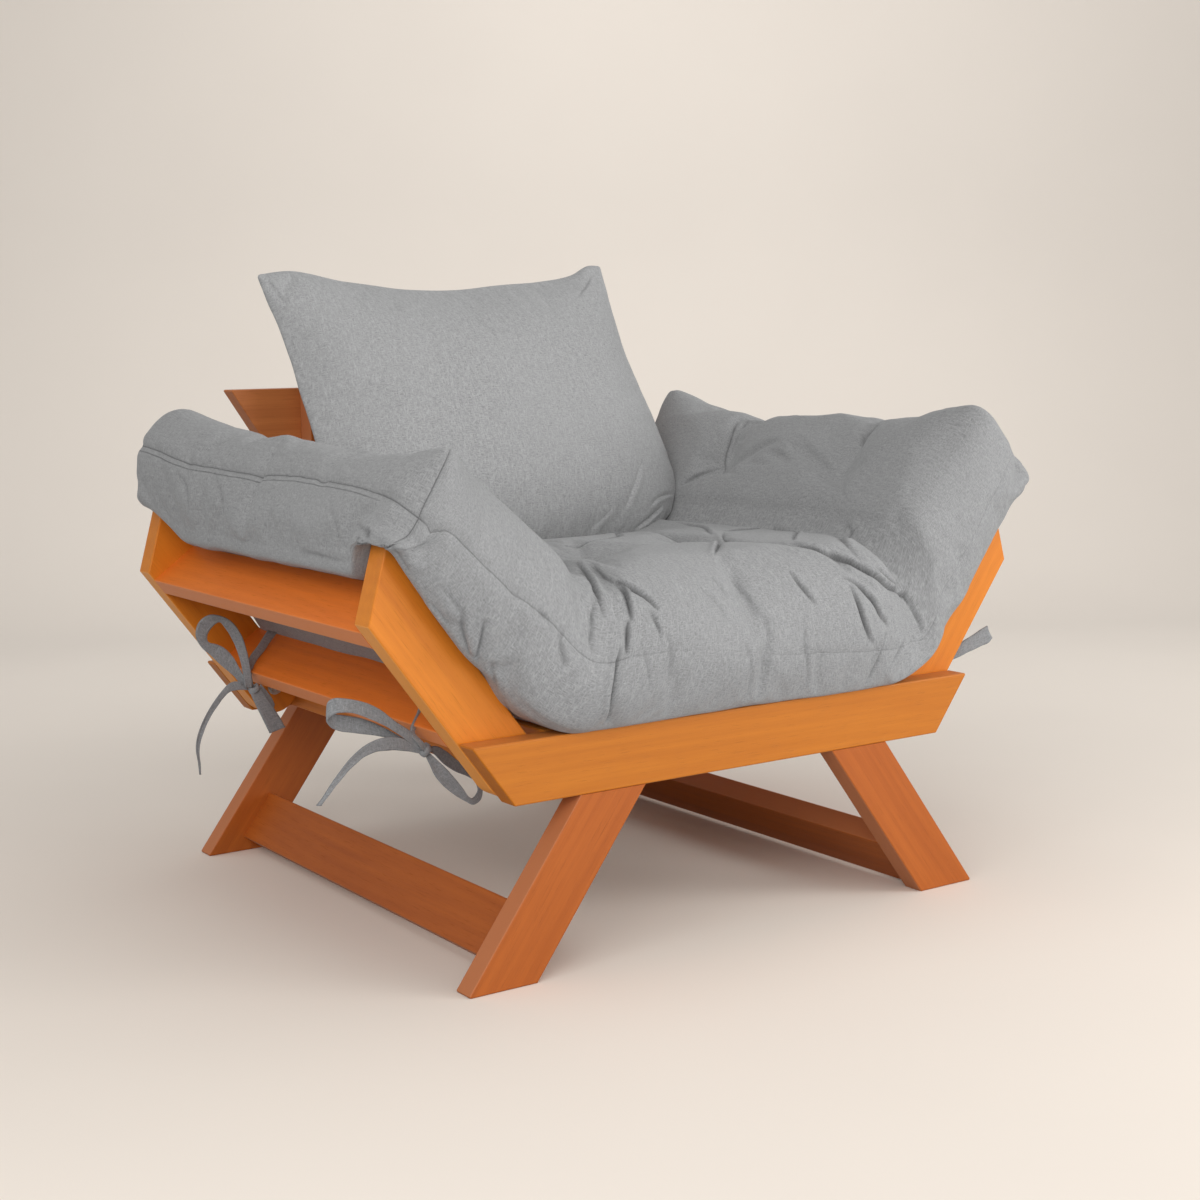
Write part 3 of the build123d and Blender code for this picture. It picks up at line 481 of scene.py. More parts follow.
def line_on_skin(tree, sights, spacing=0.003):
    """Evenly spaced points along a smooth line on the skin, seen through places in the frame."""
    hits = [tree.ray_cast(CAMERA_PLACE, sight(*place))[0] for place in np.reshape(sights, (-1, 2)).tolist()]
    knots = np.array([hit for hit in hits if hit is not None])
    if len(knots) < 2:
        return None
    run = np.concatenate([[0], np.cumsum(np.linalg.norm(np.diff(knots, axis=0), axis=1))])
    at = np.linspace(0, run[-1], max(3, int(run[-1] / spacing)))
    line = np.stack([along_table(at, run, knots[:, axis]) for axis in range(3)], 1)
    return np.array([tree.find_nearest(Vector(point))[0] for point in line])


def press_fold(points, normals, line, depth, width, ridge, lean):
    """Press a crease along a line, with a full ridge on one side; gives the creased points and how strongly
    each is creased, which sets its painted shade.
    """
    reach = 4.0 * width
    near = np.nonzero(((points > line.min(0) - reach) & (points < line.max(0) + reach)).all(1))[0]
    if len(near) == 0:
        return near, np.zeros(0)
    best, which = np.full(len(near), 9.0), np.zeros(len(near), int)
    for number, place in enumerate(line):
        gap = np.linalg.norm(points[near] - place, axis=1)
        closer = gap < best
        best[closer], which[closer] = gap[closer], number
    close = best < reach
    near, which = near[close], which[close]
    run = np.gradient(line, axis=0)
    run /= np.linalg.norm(run, axis=1, keepdims=True)
    up = normals[near]
    side = np.cross(up, run[which])
    offset = points[near] - line[which]
    away = (offset * side).sum(1)
    beyond = (offset * run[which]).sum(1)
    share = which / max(1, len(line) - 1)
    taper = np.clip(np.sin(np.pi * np.clip(share, 0, 1)), 0, 1) ** 0.6 * np.exp(-(beyond / width) ** 2)
    away = away * lean
    sharp = max(0.34 * width, THIN_CREASE)
    gentle, steep = np.exp(-(away / (1.15 * width)) ** 2), np.exp(-(away / sharp) ** 2)
    groove = np.where(away < 0, 0.35 * steep + 0.65 * gentle, steep)
    swell = np.exp(-((away - 1.05 * width) / (0.75 * width)) ** 2)
    points[near] += up * ((ridge * swell - depth * groove) * taper)[:, None]
    over = -0.50 * ridge * np.exp(-((away - 0.6 * width) / (0.5 * width)) ** 2) * lean
    points[near] += side * (over * taper)[:, None]
    return near, np.clip(depth / DEEP_CREASE, 0, 1) * np.exp(-(away / sharp) ** 2) * taper


def press_folds(piece, folds):
    """Press every fold of a table into a piece, and keep how creased each point is for the material; the
    mattress's cloth darkens creases with it as painted shade.
    """
    tree = skin_tree(piece)
    crease = np.zeros(len(piece.data.vertices))
    for sights, depth, width, ridge, lean in folds:
        line = line_on_skin(tree, sights)
        if line is not None:
            points = points_of(piece)
            near, amount = press_fold(points, normals_of(piece), line, depth * FOLD_DEPTH * MILLI,
                                      width * FOLD_WIDTH * MILLI, ridge * MILLI, lean)
            set_points(piece, points)
            crease[near] = np.maximum(crease[near], amount)
    keep_mark(piece, "crease", crease)


def ruffle(piece, height, longest, seed, count=16):
    """Gentle unevenness of a stuffed skin: a fixed set of crossing waves along its normals."""
    dice = np.random.default_rng(seed)
    points, total = points_of(piece), np.zeros(len(piece.data.vertices))
    for number in range(count):
        way = dice.normal(size=3)
        way /= np.linalg.norm(way)
        length = longest * dice.uniform(0.35, 1.0)
        total += np.sin(points @ way * (2 * math.pi / length) + dice.uniform(0, 6.28)) * length / longest
    set_points(piece, points + normals_of(piece) * (total * height / math.sqrt(count))[:, None])


# Mattress: one long pad that runs over the left arm, the seat and the right arm

PAD_LENGTH, PAD_DEPTH, PAD_THICK = 1.47, 0.870, 0.190
PAD_COUNTS = (134, 78, 16)
PAD_ROUND = 0.034
PAD_OVERHANG = 0.012
POST_FRONT = 0.826
TUFT_ROWS, SEAT_TUFTS, ARM_TUFT_PLACE = (0.238, 0.548), (-0.120, 0.120), 0.300
TUFT_DEPTH, TUFT_REACH, TUFT_BUTTON = 0.010, 0.030, 0.009
# How far along the arm the top of each end reaches, from the front to the rear
END_TOP = 0.442
END_SHAPE_LEFT = ((-0.012, 0.120, 0.430, 0.700, 0.862), (0.421, 0.424, 0.430, 0.449, 0.474))
END_SHAPE_RIGHT = ((-0.012, 0.100, 0.200, 0.500, 0.720, 0.862), (0.450, 0.441, 0.431, 0.426, 0.448, 0.468))


def on_arm(along, across):
    """X and Z on the left arm, from distances along it and across towards the seat."""
    return (-PIVOT[0] - along * SLOPE_SIN + across * SLOPE_COS,
            PIVOT[1] + along * SLOPE_COS + across * SLOPE_SIN)


# Lines of the pad's section, from the middle of the seat to the end of the left arm: share of the half
# length, then X and Z. The pad's bottom on the boards, the same between the boards, the pad's top, and
# its top where the pad bridges the angle between seat and arm
UNDER_SEAT = [
    (0.00, (0.0, 0.3436)), (0.20, (-0.150, 0.3436)), (0.36, (-0.262, 0.3436)), (0.43, (-0.310, 0.3470)),
    (0.49, on_arm(0.062, 0.0462)), (0.60, on_arm(0.150, 0.0452)), (0.72, on_arm(0.240, 0.0452))]
BOTTOM_LINE = UNDER_SEAT + [
    (0.84, on_arm(0.330, 0.0452)), (0.90, on_arm(0.368, 0.0450)), (0.94, on_arm(0.381, 0.034)),
    (0.97, on_arm(0.386, 0.018)), (1.00, on_arm(0.388, 0.004))]
SLUNG_LINE = UNDER_SEAT + [
    (0.80, on_arm(0.286, 0.0430)), (0.87, on_arm(0.310, 0.0250)), (0.92, on_arm(0.326, 0.010)),
    (0.96, on_arm(0.340, 0.004)), (1.00, on_arm(0.354, 0.008))]
TOP_LINE = [
    (0.00, (0.0, 0.5450)), (0.20, (-0.120, 0.5460)), (0.34, (-0.205, 0.5460)), (0.42, (-0.262, 0.5440)),
    (0.475, (-0.306, 0.5390)), (0.50, (-0.322, 0.5300)), (0.525, on_arm(0.196, 0.174)),
    (0.57, on_arm(0.224, 0.181)), (0.66, on_arm(0.270, 0.184)), (0.76, on_arm(0.325, 0.186)),
    (0.86, on_arm(0.376, 0.190)), (0.93, on_arm(0.412, 0.194)), (0.97, on_arm(0.432, 0.193)),
    (1.00, on_arm(0.442, 0.187))]
FULL_LINE = [
    (0.00, (0.0, 0.5450)), (0.20, (-0.110, 0.5460)), (0.34, (-0.182, 0.5465)), (0.43, (-0.232, 0.5480)),
    (0.47, on_arm(0.152, 0.234)), (0.51, on_arm(0.180, 0.229)), (0.55, on_arm(0.206, 0.223)),
    (0.60, on_arm(0.238, 0.216)), (0.66, on_arm(0.274, 0.208)), (0.76, on_arm(0.330, 0.196)),
    (0.86, on_arm(0.378, 0.190)), (0.93, on_arm(0.412, 0.190)), (0.97, on_arm(0.430, 0.188)),
    (1.00, on_arm(0.440, 0.182))]


def follow(line, tau):
    """X and Z at shares along a line of the section."""
    return [along_table(tau, [t for t, _ in line], [place[axis] for _, place in line]) for axis in (0, 1)]


def toward(line, other, share):
    """A line of the section taken a share of the way to another."""
    return [line[axis] + (other[axis] - line[axis]) * share for axis in (0, 1)]


def shifted(line, along, across):
    """A line of the section moved along the arm, and across it towards the seat."""
    return [line[0] - along * SLOPE_SIN + across * SLOPE_COS,
            line[1] + along * SLOPE_COS + across * SLOPE_SIN]


def left_fill(flat):
    """How far the pad bridges the angle between seat and arm: at the front of the left arm only."""
    return np.where(flat[:, 0] < PAD_LENGTH / 2, 1 - ramp(flat[:, 1], 0.13, 0.40), 0.0)


def bottom_places(tau, right, share, y, depth, seat_side):
    """X and Z of the pad's bottom, as if both arms were the left one."""
    # Between the boards the bottom hangs lower and further in; the ends' fronts lie on the boards' tips
    between = ramp(y, 0.070, 0.115) * (1 - ramp(y, 0.700, 0.835))
    lifted = np.where(right, 0.0, ramp(share, 0.0, 0.45) * ramp(tau, 0.80, 0.95) * (y < 0.40))
    between = np.maximum(between, lifted)
    between = between * np.where(right, 1 - ramp(tau, 0.86, 0.96) * (1 - ramp(y, 0.14, 0.38)), 1.0)
    low = toward(follow(BOTTOM_LINE, tau), follow(SLUNG_LINE, tau), between)
    longer = np.where(right, 0.012 * ramp(tau, 0.88, 1.0) * (1 - ramp(y, 0.20, 0.50)), 0.0)
    low = shifted(low, longer, 0.0)
    # The front edge droops over the boards, but is tucked up at the left board's tip
    hang = np.clip(1 - depth / 0.052, 0, 1)
    droop = 0.022 * ramp(tau, 0.50, 0.66) * ramp(hang, 0.0, 0.8)
    droop = droop * (1 - 0.85 * ramp(tau, 0.925, 0.965))
    low = shifted(low, 0.0, -droop)
    low[1] = low[1] - 0.007 * seat_side * ramp(hang, 0.3, 0.9)
    tuck = (1 - ramp(y, 0.050, 0.100)) * ramp(tau, 0.88, 1.0) * (1 - ramp(share, 0.0, 0.45))
    tuck = tuck * np.where(right, 0.0, 0.50)
    return shifted(low, -0.013 * tuck, 0.018 * tuck)


def top_places(tau, right, fill, y, depth, seat_side, arm_side):
    """X and Z of the pad's top, as if both arms were the left one."""
    top = toward(follow(TOP_LINE, tau), follow(FULL_LINE, tau), fill)
    sunk = np.where(right, 0.0, 0.012 * ramp(y, 0.45, 0.85) * ramp(tau, 0.60, 0.80))
    top = shifted(top, 0.0, -sunk)
    reach = np.where(right, along_table(y, *END_SHAPE_RIGHT), along_table(y, *END_SHAPE_LEFT)) - END_TOP
    top = shifted(top, reach * ramp(tau, 0.62, 1.0), 0.0)
    # The front edge falls, most in the valley between seat and arm; the cushion presses the seat's rear
    front_fall = np.clip(1 - depth / 0.100, 0, 1) ** 2
    valley = np.exp(-((tau - 0.5 + 0.06 * fill) / 0.036) ** 2) * (1 - 0.8 * fill)
    top[1] = top[1] - front_fall * (0.016 * seat_side + 0.050 * valley + 0.004 * arm_side)
    top[1] = top[1] - 0.004 * ramp(y, 0.30, 0.80) * seat_side
    pressed = np.exp(-((y - 0.600) / 0.150) ** 2) * (1 - ramp(tau, 0.36, 0.47))
    top[1] = top[1] - 0.020 * pressed
    return top


def pad_places(flat):
    """Places of the mattress's points as it lies over the arms and the seat."""
    half = PAD_LENGTH / 2
    signed = (flat[:, 0] - half) / half
    tau, right = np.abs(signed), signed > 0
    depth, share = flat[:, 1], flat[:, 2] / PAD_THICK
    y = depth - PAD_OVERHANG
    seat_side, arm_side = 1 - ramp(tau, 0.44, 0.56), ramp(tau, 0.50, 0.60)
    low = bottom_places(tau, right, share, y, depth, seat_side)
    top = top_places(tau, right, left_fill(flat), y, depth, seat_side, arm_side)
    place = toward(low, top, share)
    band = np.sin(np.pi * np.clip(share, 0, 1))
    front = along_table(tau, (0, 0.36, 0.50, 0.62, 1.0), (-0.021, -0.021, -0.014, -0.006, -0.006))
    rear = along_table(tau, (0, 0.40, 0.52, 0.70, 1.0), (0.8260, 0.8260, 0.8360, 0.8460, 0.8540))
    span = depth / PAD_DEPTH
    y = front + (rear - front) * span
    # The ends and the front and rear sides are full between their edges
    belly = np.where(right, 0.008 * np.exp(-((share - 0.20) / 0.19) ** 2) * (1 - ramp(y, 0.20, 0.50)), 0.0)
    push = ((0.002 + 0.032 * ramp(y, 0.45, 0.82)) * band + belly) * ramp(tau, 0.90, 1.0)
    x, z = shifted(place, push, 0.0)
    y = y - 0.010 * band * np.clip(1 - span / 0.08, 0, 1)
    y = y + 0.006 * band * np.clip(1 - (1 - span) / 0.08, 0, 1) * arm_side
    return np.stack([np.where(right, -x, x), y + RAIL_FACE, z], 1)


def pad_map(flat, quads, faces):
    """Cloth map of the mattress in metres: two panels that meet at the seam round the middle of its sides."""
    corners = flat[quads]
    s, y, w = corners[..., 0], corners[..., 1], corners[..., 2]
    upper = (w.mean(1) > PAD_THICK / 2)[:, None]
    fall = np.where(upper, PAD_THICK - w, w)
    u, v = s.copy(), y.copy()
    for face, sign in (("front", -1), ("rear", 1)):
        rows = faces == face
        v[rows] = y[rows] + sign * fall[rows]
    rows = faces == "left"
    u[rows] = -fall[rows]
    rows = faces == "right"
    u[rows] = PAD_LENGTH + fall[rows]
    below = ((faces == "bottom")[:, None] | ~upper) & (faces != "top")[:, None]
    return np.stack([u, v + np.where(below, 3.0, 0.0)], -1)


def tuft_points(points, faces_up):
    """Index of the top point nearest to each tuft."""
    arm_x, arm_z = on_arm(ARM_TUFT_PLACE, 0.198)
    found = []
    for row in TUFT_ROWS:
        y = row + RAIL_FACE
        gaps = [np.hypot(points[:, 0] - x, points[:, 1] - y) for x in SEAT_TUFTS]
        for side in (-1, 1):
            gaps.append(np.sqrt((points[:, 0] - side * abs(arm_x)) ** 2 + (points[:, 1] - y) ** 2
                                + (points[:, 2] - arm_z) ** 2))
        found += [int(np.argmin(np.where(faces_up, gap, 9.0))) for gap in gaps]
    return found


# Folds of the mattress: places in the frame as X and Y in turn, depth, width and ridge in millimetres,
# side of the ridge
MATTRESS_FOLDS = (
    ((576, 562, 587, 574, 595, 585, 600, 598, 603, 619), 7.0, 7.0, 4.0, 1),
    ((597, 596, 592, 620, 591, 641, 593, 654), 4.5, 6.0, 2.5, 1),
    ((616, 582, 626, 593, 630, 606, 632, 622), 7.0, 6.5, 4.0, 1),
    ((628, 620, 628, 641, 627, 654), 6.0, 6.0, 3.0, 1),
    ((621, 645, 616, 670, 612, 695, 606, 722), 8.0, 9.0, 3.5, -1),
    ((614, 581, 634, 589, 647, 597, 660, 611), 6.0, 7.0, 3.5, 1),
    ((650, 611, 658, 625, 662, 638), 3.5, 7.0, 2.0, 1),
    ((565, 628, 561, 641, 563, 654, 566, 668), 3.0, 12.0, 1.2, 1),
    ((538, 608, 552, 626), 2.0, 8.0, 1.0, 1),
    ((592, 565, 605, 577, 616, 584), 4.0, 6.0, 2.0, 1),
    ((789, 571, 801, 585, 817, 606), 4.5, 8.0, 2.0, 1),
    ((804, 612, 805, 641, 808, 668, 806, 697), 1.6, 11.0, 0.8, 1),
    ((731, 580, 746, 596, 756, 611), 1.6, 11.0, 0.7, 1),
    ((710, 576, 722, 589, 729, 600), 1.4, 10.0, 0.6, 1),
    ((666, 630, 671, 657, 669, 686), 1.6, 12.0, 0.6, 1),
    ((850, 584, 860, 606, 866, 625, 872, 644), 6.0, 6.5, 3.0, 1),
    ((842, 577, 861, 587, 872, 598, 880, 612, 889, 627), 7.0, 7.0, 3.5, 1),
    ((793, 545, 819, 551, 840, 559, 852, 562, 869, 571, 888, 585, 906, 597, 915, 612, 923, 634),
     9.0, 8.0, 3.0, 1),
    ((874, 565, 888, 577, 899, 591), 4.5, 6.0, 2.0, 1),
    ((770, 528, 786, 531, 794, 540), 5.0, 6.0, 2.0, 1),
    ((714, 556, 719, 542, 724, 532), 7.0, 7.0, 2.5, 1),
    ((677, 522, 693, 525, 712, 535), 5.0, 7.0, 2.0, 1),
    ((722, 531, 744, 529, 774, 527), 6.0, 8.0, 1.5, 1),
    ((738, 421, 731, 440, 726, 456, 723, 474), 5.0, 8.0, 3.0, 1),
    ((740, 430, 749, 420, 766, 415), 2.5, 9.0, 1.5, 1),
    ((861, 450, 867, 435, 881, 423), 3.0, 14.0, 1.5, 1),
    ((679, 486, 701, 474, 723, 467), 3.0, 8.0, 1.5, 1),
    ((845, 520, 848, 545, 860, 562), 4.0, 14.0, 2.0, 1),
    ((371, 530, 373, 548), 6.0, 6.0, 3.0, -1),
    ((357, 524, 366, 533, 371, 541), 2.5, 7.0, 1.5, 1),
    ((392, 543, 402, 560, 411, 575), 2.0, 10.0, 1.0, 1),
    ((440, 585, 452, 600, 470, 622), 2.0, 12.0, 1.0, -1),
    ((300, 551, 322, 556, 346, 562), 2.0, 10.0, 1.5, 1),
    ((176, 470, 187, 492, 190, 512), 2.0, 12.0, 1.0, 1),
    # This crease along the cushion's lower edge has no ridge; its painted shade stands in for the shadow in
    # the gap under the cushion
    ((560, 546, 585, 542, 607, 538, 630, 531, 650, 524), 12.0, 6.0, 0.0, 1),
    ((462, 606, 463, 632, 472, 658), 3.5, 10.0, 1.5, 1),
    ((484, 618, 480, 642, 475, 661), 4.5, 7.0, 2.0, -1),
    ((492, 660, 494, 678, 499, 694), 2.5, 8.0, 1.0, 1),
    ((383, 577, 386, 570, 390, 562), 3.5, 5.0, 1.5, 1),
    ((426, 600, 438, 612, 450, 628), 2.0, 9.0, 1.2, -1),
    ((504, 700, 512, 712, 526, 720), 3.0, 7.0, 1.5, 1),
    ((696, 585, 715, 601, 729, 622), 1.4, 11.0, 0.6, 1),
    ((640, 642, 648, 668, 650, 692), 1.8, 10.0, 1.0, -1),
    ((745, 640, 752, 668, 748, 700), 1.4, 11.0, 0.6, 1),
    ((886, 630, 880, 655, 866, 684), 3.0, 9.0, 1.5, -1),
    ((905, 640, 892, 664, 880, 690), 2.6, 8.0, 1.2, 1),
    ((214, 470, 222, 498, 226, 530), 1.6, 13.0, 0.8, 1),
    ((330, 500, 336, 528, 340, 552), 1.8, 12.0, 0.8, -1),
)
# Height of the seam along the pad and across its left end, and how strongly it shows along the pad, as a
# groove and as painted shade
SEAM_HEIGHTS = ((0.0, 0.20, 0.40, 0.60, 0.85, 1.05, 1.25, 1.47),
                (0.086, 0.098, 0.110, 0.107, 0.077, 0.067, 0.076, 0.095))
END_SEAM_HEIGHTS = ((0.0, 0.06, 0.12, 0.25, 0.50, 0.87), (0.086, 0.095, 0.104, 0.112, 0.104, 0.090))
SEAM_SHOWN = ((0.0, 0.30, 0.46, 0.58, 0.90, 1.47), (0.62, 0.55, 0.40, 0.12, 0.30, 0.20))
SEAM_HALF = 0.0060


def seam_marks(flat):
    """Distances from the side and corner seams, and how strongly the seam and the zip beside it show, as a
    groove and as painted shade.
    """
    end = 1 - ramp(flat[:, 0], 0.004, 0.060)
    height = along_table(flat[:, 0], *SEAM_HEIGHTS)
    height = height + (along_table(flat[:, 1], *END_SEAM_HEIGHTS) - SEAM_HEIGHTS[1][0]) * end
    level = flat[:, 2] - height
    x = np.minimum(flat[:, 0], PAD_LENGTH - flat[:, 0])
    y = np.minimum(flat[:, 1], PAD_DEPTH - flat[:, 1])
    slant = (x - y) / math.sqrt(2)
    corner = (x < 1.4 * PAD_ROUND) & (y < 1.4 * PAD_ROUND)
    slant = np.where(corner, slant, np.sign(slant + 1e-9) * 0.05)
    side = 1 - ramp(x, 0.010, 0.040)
    shown = np.maximum(along_table(flat[:, 0], *SEAM_SHOWN), side)
    zipped = (1 - ramp(flat[:, 0], 0.010, 0.040)) * ramp(flat[:, 1], 0.07, 0.12)
    return level, slant, shown, zipped


def sew(piece):
    """Draw the cloth in along its seams."""
    flat = flat_of(piece)
    level, slant, shown, _ = seam_marks(flat)
    side = (flat[:, 2] > 0.002) & (flat[:, 2] < PAD_THICK - 0.002)
    along = flat[:, 0] + flat[:, 1]
    gather = 1 + 0.35 * np.sin(along * 190.0) * np.sin(along * 71.0)
    ridge = np.exp(-((np.abs(level) - 0.016) / 0.009) ** 2)
    pull = (2.4 * np.exp(-(level / SEAM_HALF) ** 2) - 1.0 * ridge) * side * shown
    pull = pull + 1.3 * np.exp(-(slant / SEAM_HALF) ** 2) * side
    set_points(piece, points_of(piece) - normals_of(piece) * (pull * gather * MILLI)[:, None])


def make_mattress():
    """The mattress before it is parted into its two halves."""
    cells, quads, faces = block_skin(PAD_COUNTS)
    flat = rounded_block(cells, PAD_COUNTS, (PAD_LENGTH, PAD_DEPTH, PAD_THICK), PAD_ROUND)
    points = pad_places(flat)
    piece = mesh_object("mattress", points, quads, pad_map(flat, quads, faces), flat)
    up = cells[:, 2] == PAD_COUNTS[2]
    normals = normals_of(piece)
    tufts = tuft_points(points, up)
    for number in tufts:
        gap = np.linalg.norm(points - points[number], axis=1)
        points = points - normals * (TUFT_DEPTH * np.exp(-(gap / TUFT_REACH) ** 2))[:, None]
    set_points(piece, points)
    # Held at the bottom, at the tufts and along the bends between seat and arms
    pins = cells[:, 2] == 0
    tau = np.abs(flat[:, 0] / (PAD_LENGTH / 2) - 1)
    bend = 0.5 - 0.07 * left_fill(flat)
    pins |= up & (np.abs(tau - bend) < 0.006) & (flat[:, 1] > 0.05) & (flat[:, 1] < PAD_DEPTH - 0.05)
    for number in tufts:
        pins |= np.linalg.norm(points - points[number], axis=1) < TUFT_BUTTON
    inflate(piece, pins, 0.035)
    subdivide(piece, 2)
    ruffle(piece, 0.0016, 0.190, 11)
    press_folds(piece, MATTRESS_FOLDS)
    sew(piece)
    stop_at_posts(piece)
    return piece


def stop_at_posts(piece):
    """Hold the seat's rear side in front of the posts."""
    points = points_of(piece)
    seat = np.abs(flat_of(piece)[:, 0] / (PAD_LENGTH / 2) - 1) < 0.50
    rear = points[:, 1] - RAIL_FACE
    held = POST_FRONT + 0.003 * np.tanh((rear - POST_FRONT) / 0.012)
    points[:, 1] = np.where(seat & (rear > POST_FRONT), held, rear) + RAIL_FACE
    set_points(piece, points)


def part_at_middle(piece, name, keep_left):
    """One half of the mattress, up to the middle of the seat."""
    mesh = piece.data
    points, flat = points_of(piece), flat_of(piece)
    corner_index = np.empty(len(mesh.loops), int)
    mesh.loops.foreach_get("vertex_index", corner_index)
    quads = corner_index.reshape(-1, 4)
    middle = flat[quads][..., 0].mean(1)
    keep = middle < PAD_LENGTH / 2 if keep_left else middle > PAD_LENGTH / 2
    uv = np.empty(len(mesh.loops) * 2)
    mesh.uv_layers["cloth"].data.foreach_get("uv", uv)
    crease = np.empty(len(points), np.float32)
    mesh.attributes["crease"].data.foreach_get("value", crease)
    used, fresh = np.unique(quads[keep], return_inverse=True)
    half = mesh_object(name, points[used], fresh.reshape(-1, 4), uv.reshape(-1, 4, 2)[keep], flat[used])
    for mark, values in zip(SEAM_MARKS, seam_marks(flat[used])):
        keep_mark(half, mark, values)
    keep_mark(half, "crease", crease[used])
    return half


def lay_mattress(cloth):
    """Two halves that meet at the middle of the seat, in place of the model's mattress parts."""
    whole = make_mattress()
    foot, head = Vector((-PIVOT[0], 0.0, PIVOT[1])), Vector((-0.322, 0.0, 0.555))
    run = (head - foot).normalized()
    inward = Vector((run.z, 0.0, -run.x))
    middle = (foot + head) / 2
    for side, keep_left in (("left", True), ("right", False)):
        half = part_at_middle(whole, side + "_mattress", keep_left)
        half.data.materials.append(cloth)
        start, end = middle - inward * 0.070, middle + inward * 0.070
        if side == "right":
            start.x, end.x = -start.x, -end.x
        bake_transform(half)
        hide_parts(side + "_mattress_arm", "mattress_seat")
    bpy.data.objects.remove(whole)


# Back cushion: two panels sewn together at the edge. Each edge is a table of places along it and how far
# it lies from the cushion's middle

CUSHION_THICK = 0.170
CUSHION_EDGE = 0.003
CUSHION_LEAN = math.radians(28.4)
CUSHION_COUNTS = (84, 62, 2)
CUSHION_TOP = ((-0.360, -0.305, -0.196, -0.088, 0.020, 0.110, 0.200, 0.273, 0.318, 0.342),
               (0.240, 0.247, 0.228, 0.212, 0.213, 0.222, 0.233, 0.246, 0.266, 0.264))
CUSHION_FOOT = ((-0.330, -0.285, -0.200, -0.080, 0.080, 0.180, 0.270, 0.325),
                (-0.244, -0.275, -0.290, -0.297, -0.299, -0.297, -0.286, -0.248))
CUSHION_LEFT = ((-0.244, -0.180, -0.060, 0.032, 0.102, 0.240),
                (-0.330, -0.337, -0.334, -0.339, -0.343, -0.360))
CUSHION_RIGHT = ((-0.248, -0.195, -0.130, -0.047, 0.097, 0.234, 0.264),
                 (0.325, 0.352, 0.356, 0.350, 0.335, 0.339, 0.342))
# Folds of the cushion, as in the mattress's table
CUSHION_FOLDS = (
    ((642, 462, 637, 480, 630, 499, 621, 516), 3.0, 10.0, 2.0, 1),
    ((663, 506, 655, 514, 646, 522, 634, 530), 5.0, 6.0, 3.0, 1),
    ((672, 494, 660, 498, 650, 506), 3.5, 6.0, 2.0, 1),
    ((614, 506, 602, 520, 590, 530), 2.0, 10.0, 1.2, 1),
    ((268, 279, 276, 292, 287, 305), 2.0, 7.0, 1.2, 1),
    ((592, 274, 586, 286, 577, 297), 2.2, 7.0, 1.2, 1),
    ((598, 285, 597, 300, 592, 316), 1.8, 8.0, 1.0, 1),
)


def edge_curve(table, share, along_u):
    """Points of one edge of the cushion, from its start to its end."""
    places, values = table
    at = places[0] + (places[-1] - places[0]) * share
    bow = along_table(at, places, values)
    return np.stack([at, bow] if along_u else [bow, at], -1)


def cushion_places(cells):
    """Places of the cushion's points: thick in the middle, drawn in to a thin edge with pointed corners."""
    nx, ny, nz = CUSHION_COUNTS
    a, b, w = cells[:, 0] / nx, cells[:, 1] / ny, cells[:, 2] / nz * 2 - 1
    foot, top = edge_curve(CUSHION_FOOT, a, True), edge_curve(CUSHION_TOP, a, True)
    left, right = edge_curve(CUSHION_LEFT, b, False), edge_curve(CUSHION_RIGHT, b, False)
    a1, b1 = a[:, None], b[:, None]
    flat = foot * (1 - b1) + top * b1 + left * (1 - a1) + right * a1
    for table, row in ((CUSHION_FOOT, 1 - b1), (CUSHION_TOP, b1)):
        for end, column in ((np.zeros(1), 1 - a1), (np.ones(1), a1)):
            flat = flat - row * column * edge_curve(table, end, True)
    u, v = a * 2 - 1, b * 2 - 1
    swell = np.clip((1 - np.abs(u) ** 2.2) * (1 - np.abs(v) ** 2.3), 0, 1) ** 0.56
    full = 1 + 0.10 * np.clip(-v, 0, 1)
    thick = CUSHION_EDGE + (CUSHION_THICK / 2 - 0.016) * swell * full
    return np.stack([flat[:, 0], flat[:, 1], w * thick], 1)


def make_cushion(cloth):
    """Loose cushion that leans on the back and stands on the mattress."""
    cells, quads, _ = block_skin(CUSHION_COUNTS)
    local = cushion_places(cells)
    low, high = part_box("back_cushion")
    centre = np.array([0.0, (low[1] + high[1]) / 2, (low[2] + high[2]) / 2])
    lean_sin, lean_cos = math.sin(CUSHION_LEAN), math.cos(CUSHION_LEAN)
    turn = np.array([[1, 0, 0], [0, lean_sin, lean_cos], [0, -lean_cos, lean_sin]])
    corners = local[quads]
    panel = np.where(corners[..., 2].mean(1) > 0, 0.0, 4.0)[:, None]
    uv = np.stack([corners[..., 0], corners[..., 1] + panel], -1)
    piece = mesh_object("back_cushion_cover", local @ turn + centre, quads, uv, local)
    rim = (cells[:, 0] % CUSHION_COUNTS[0] == 0) | (cells[:, 1] % CUSHION_COUNTS[1] == 0)
    inflate(piece, rim, 0.015)
    subdivide(piece, 2)
    ruffle(piece, 0.0013, 0.210, 5)
    press_folds(piece, CUSHION_FOLDS)
    piece.data.materials.append(cloth)
    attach(piece, "base")
    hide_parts("back_cushion")


# Cloth tapes tied in bows. Each row is a place in the frame on each of the tape's two edges, as X and Y in
# turn, and how far the two lie behind the bow's own plane, in millimetres

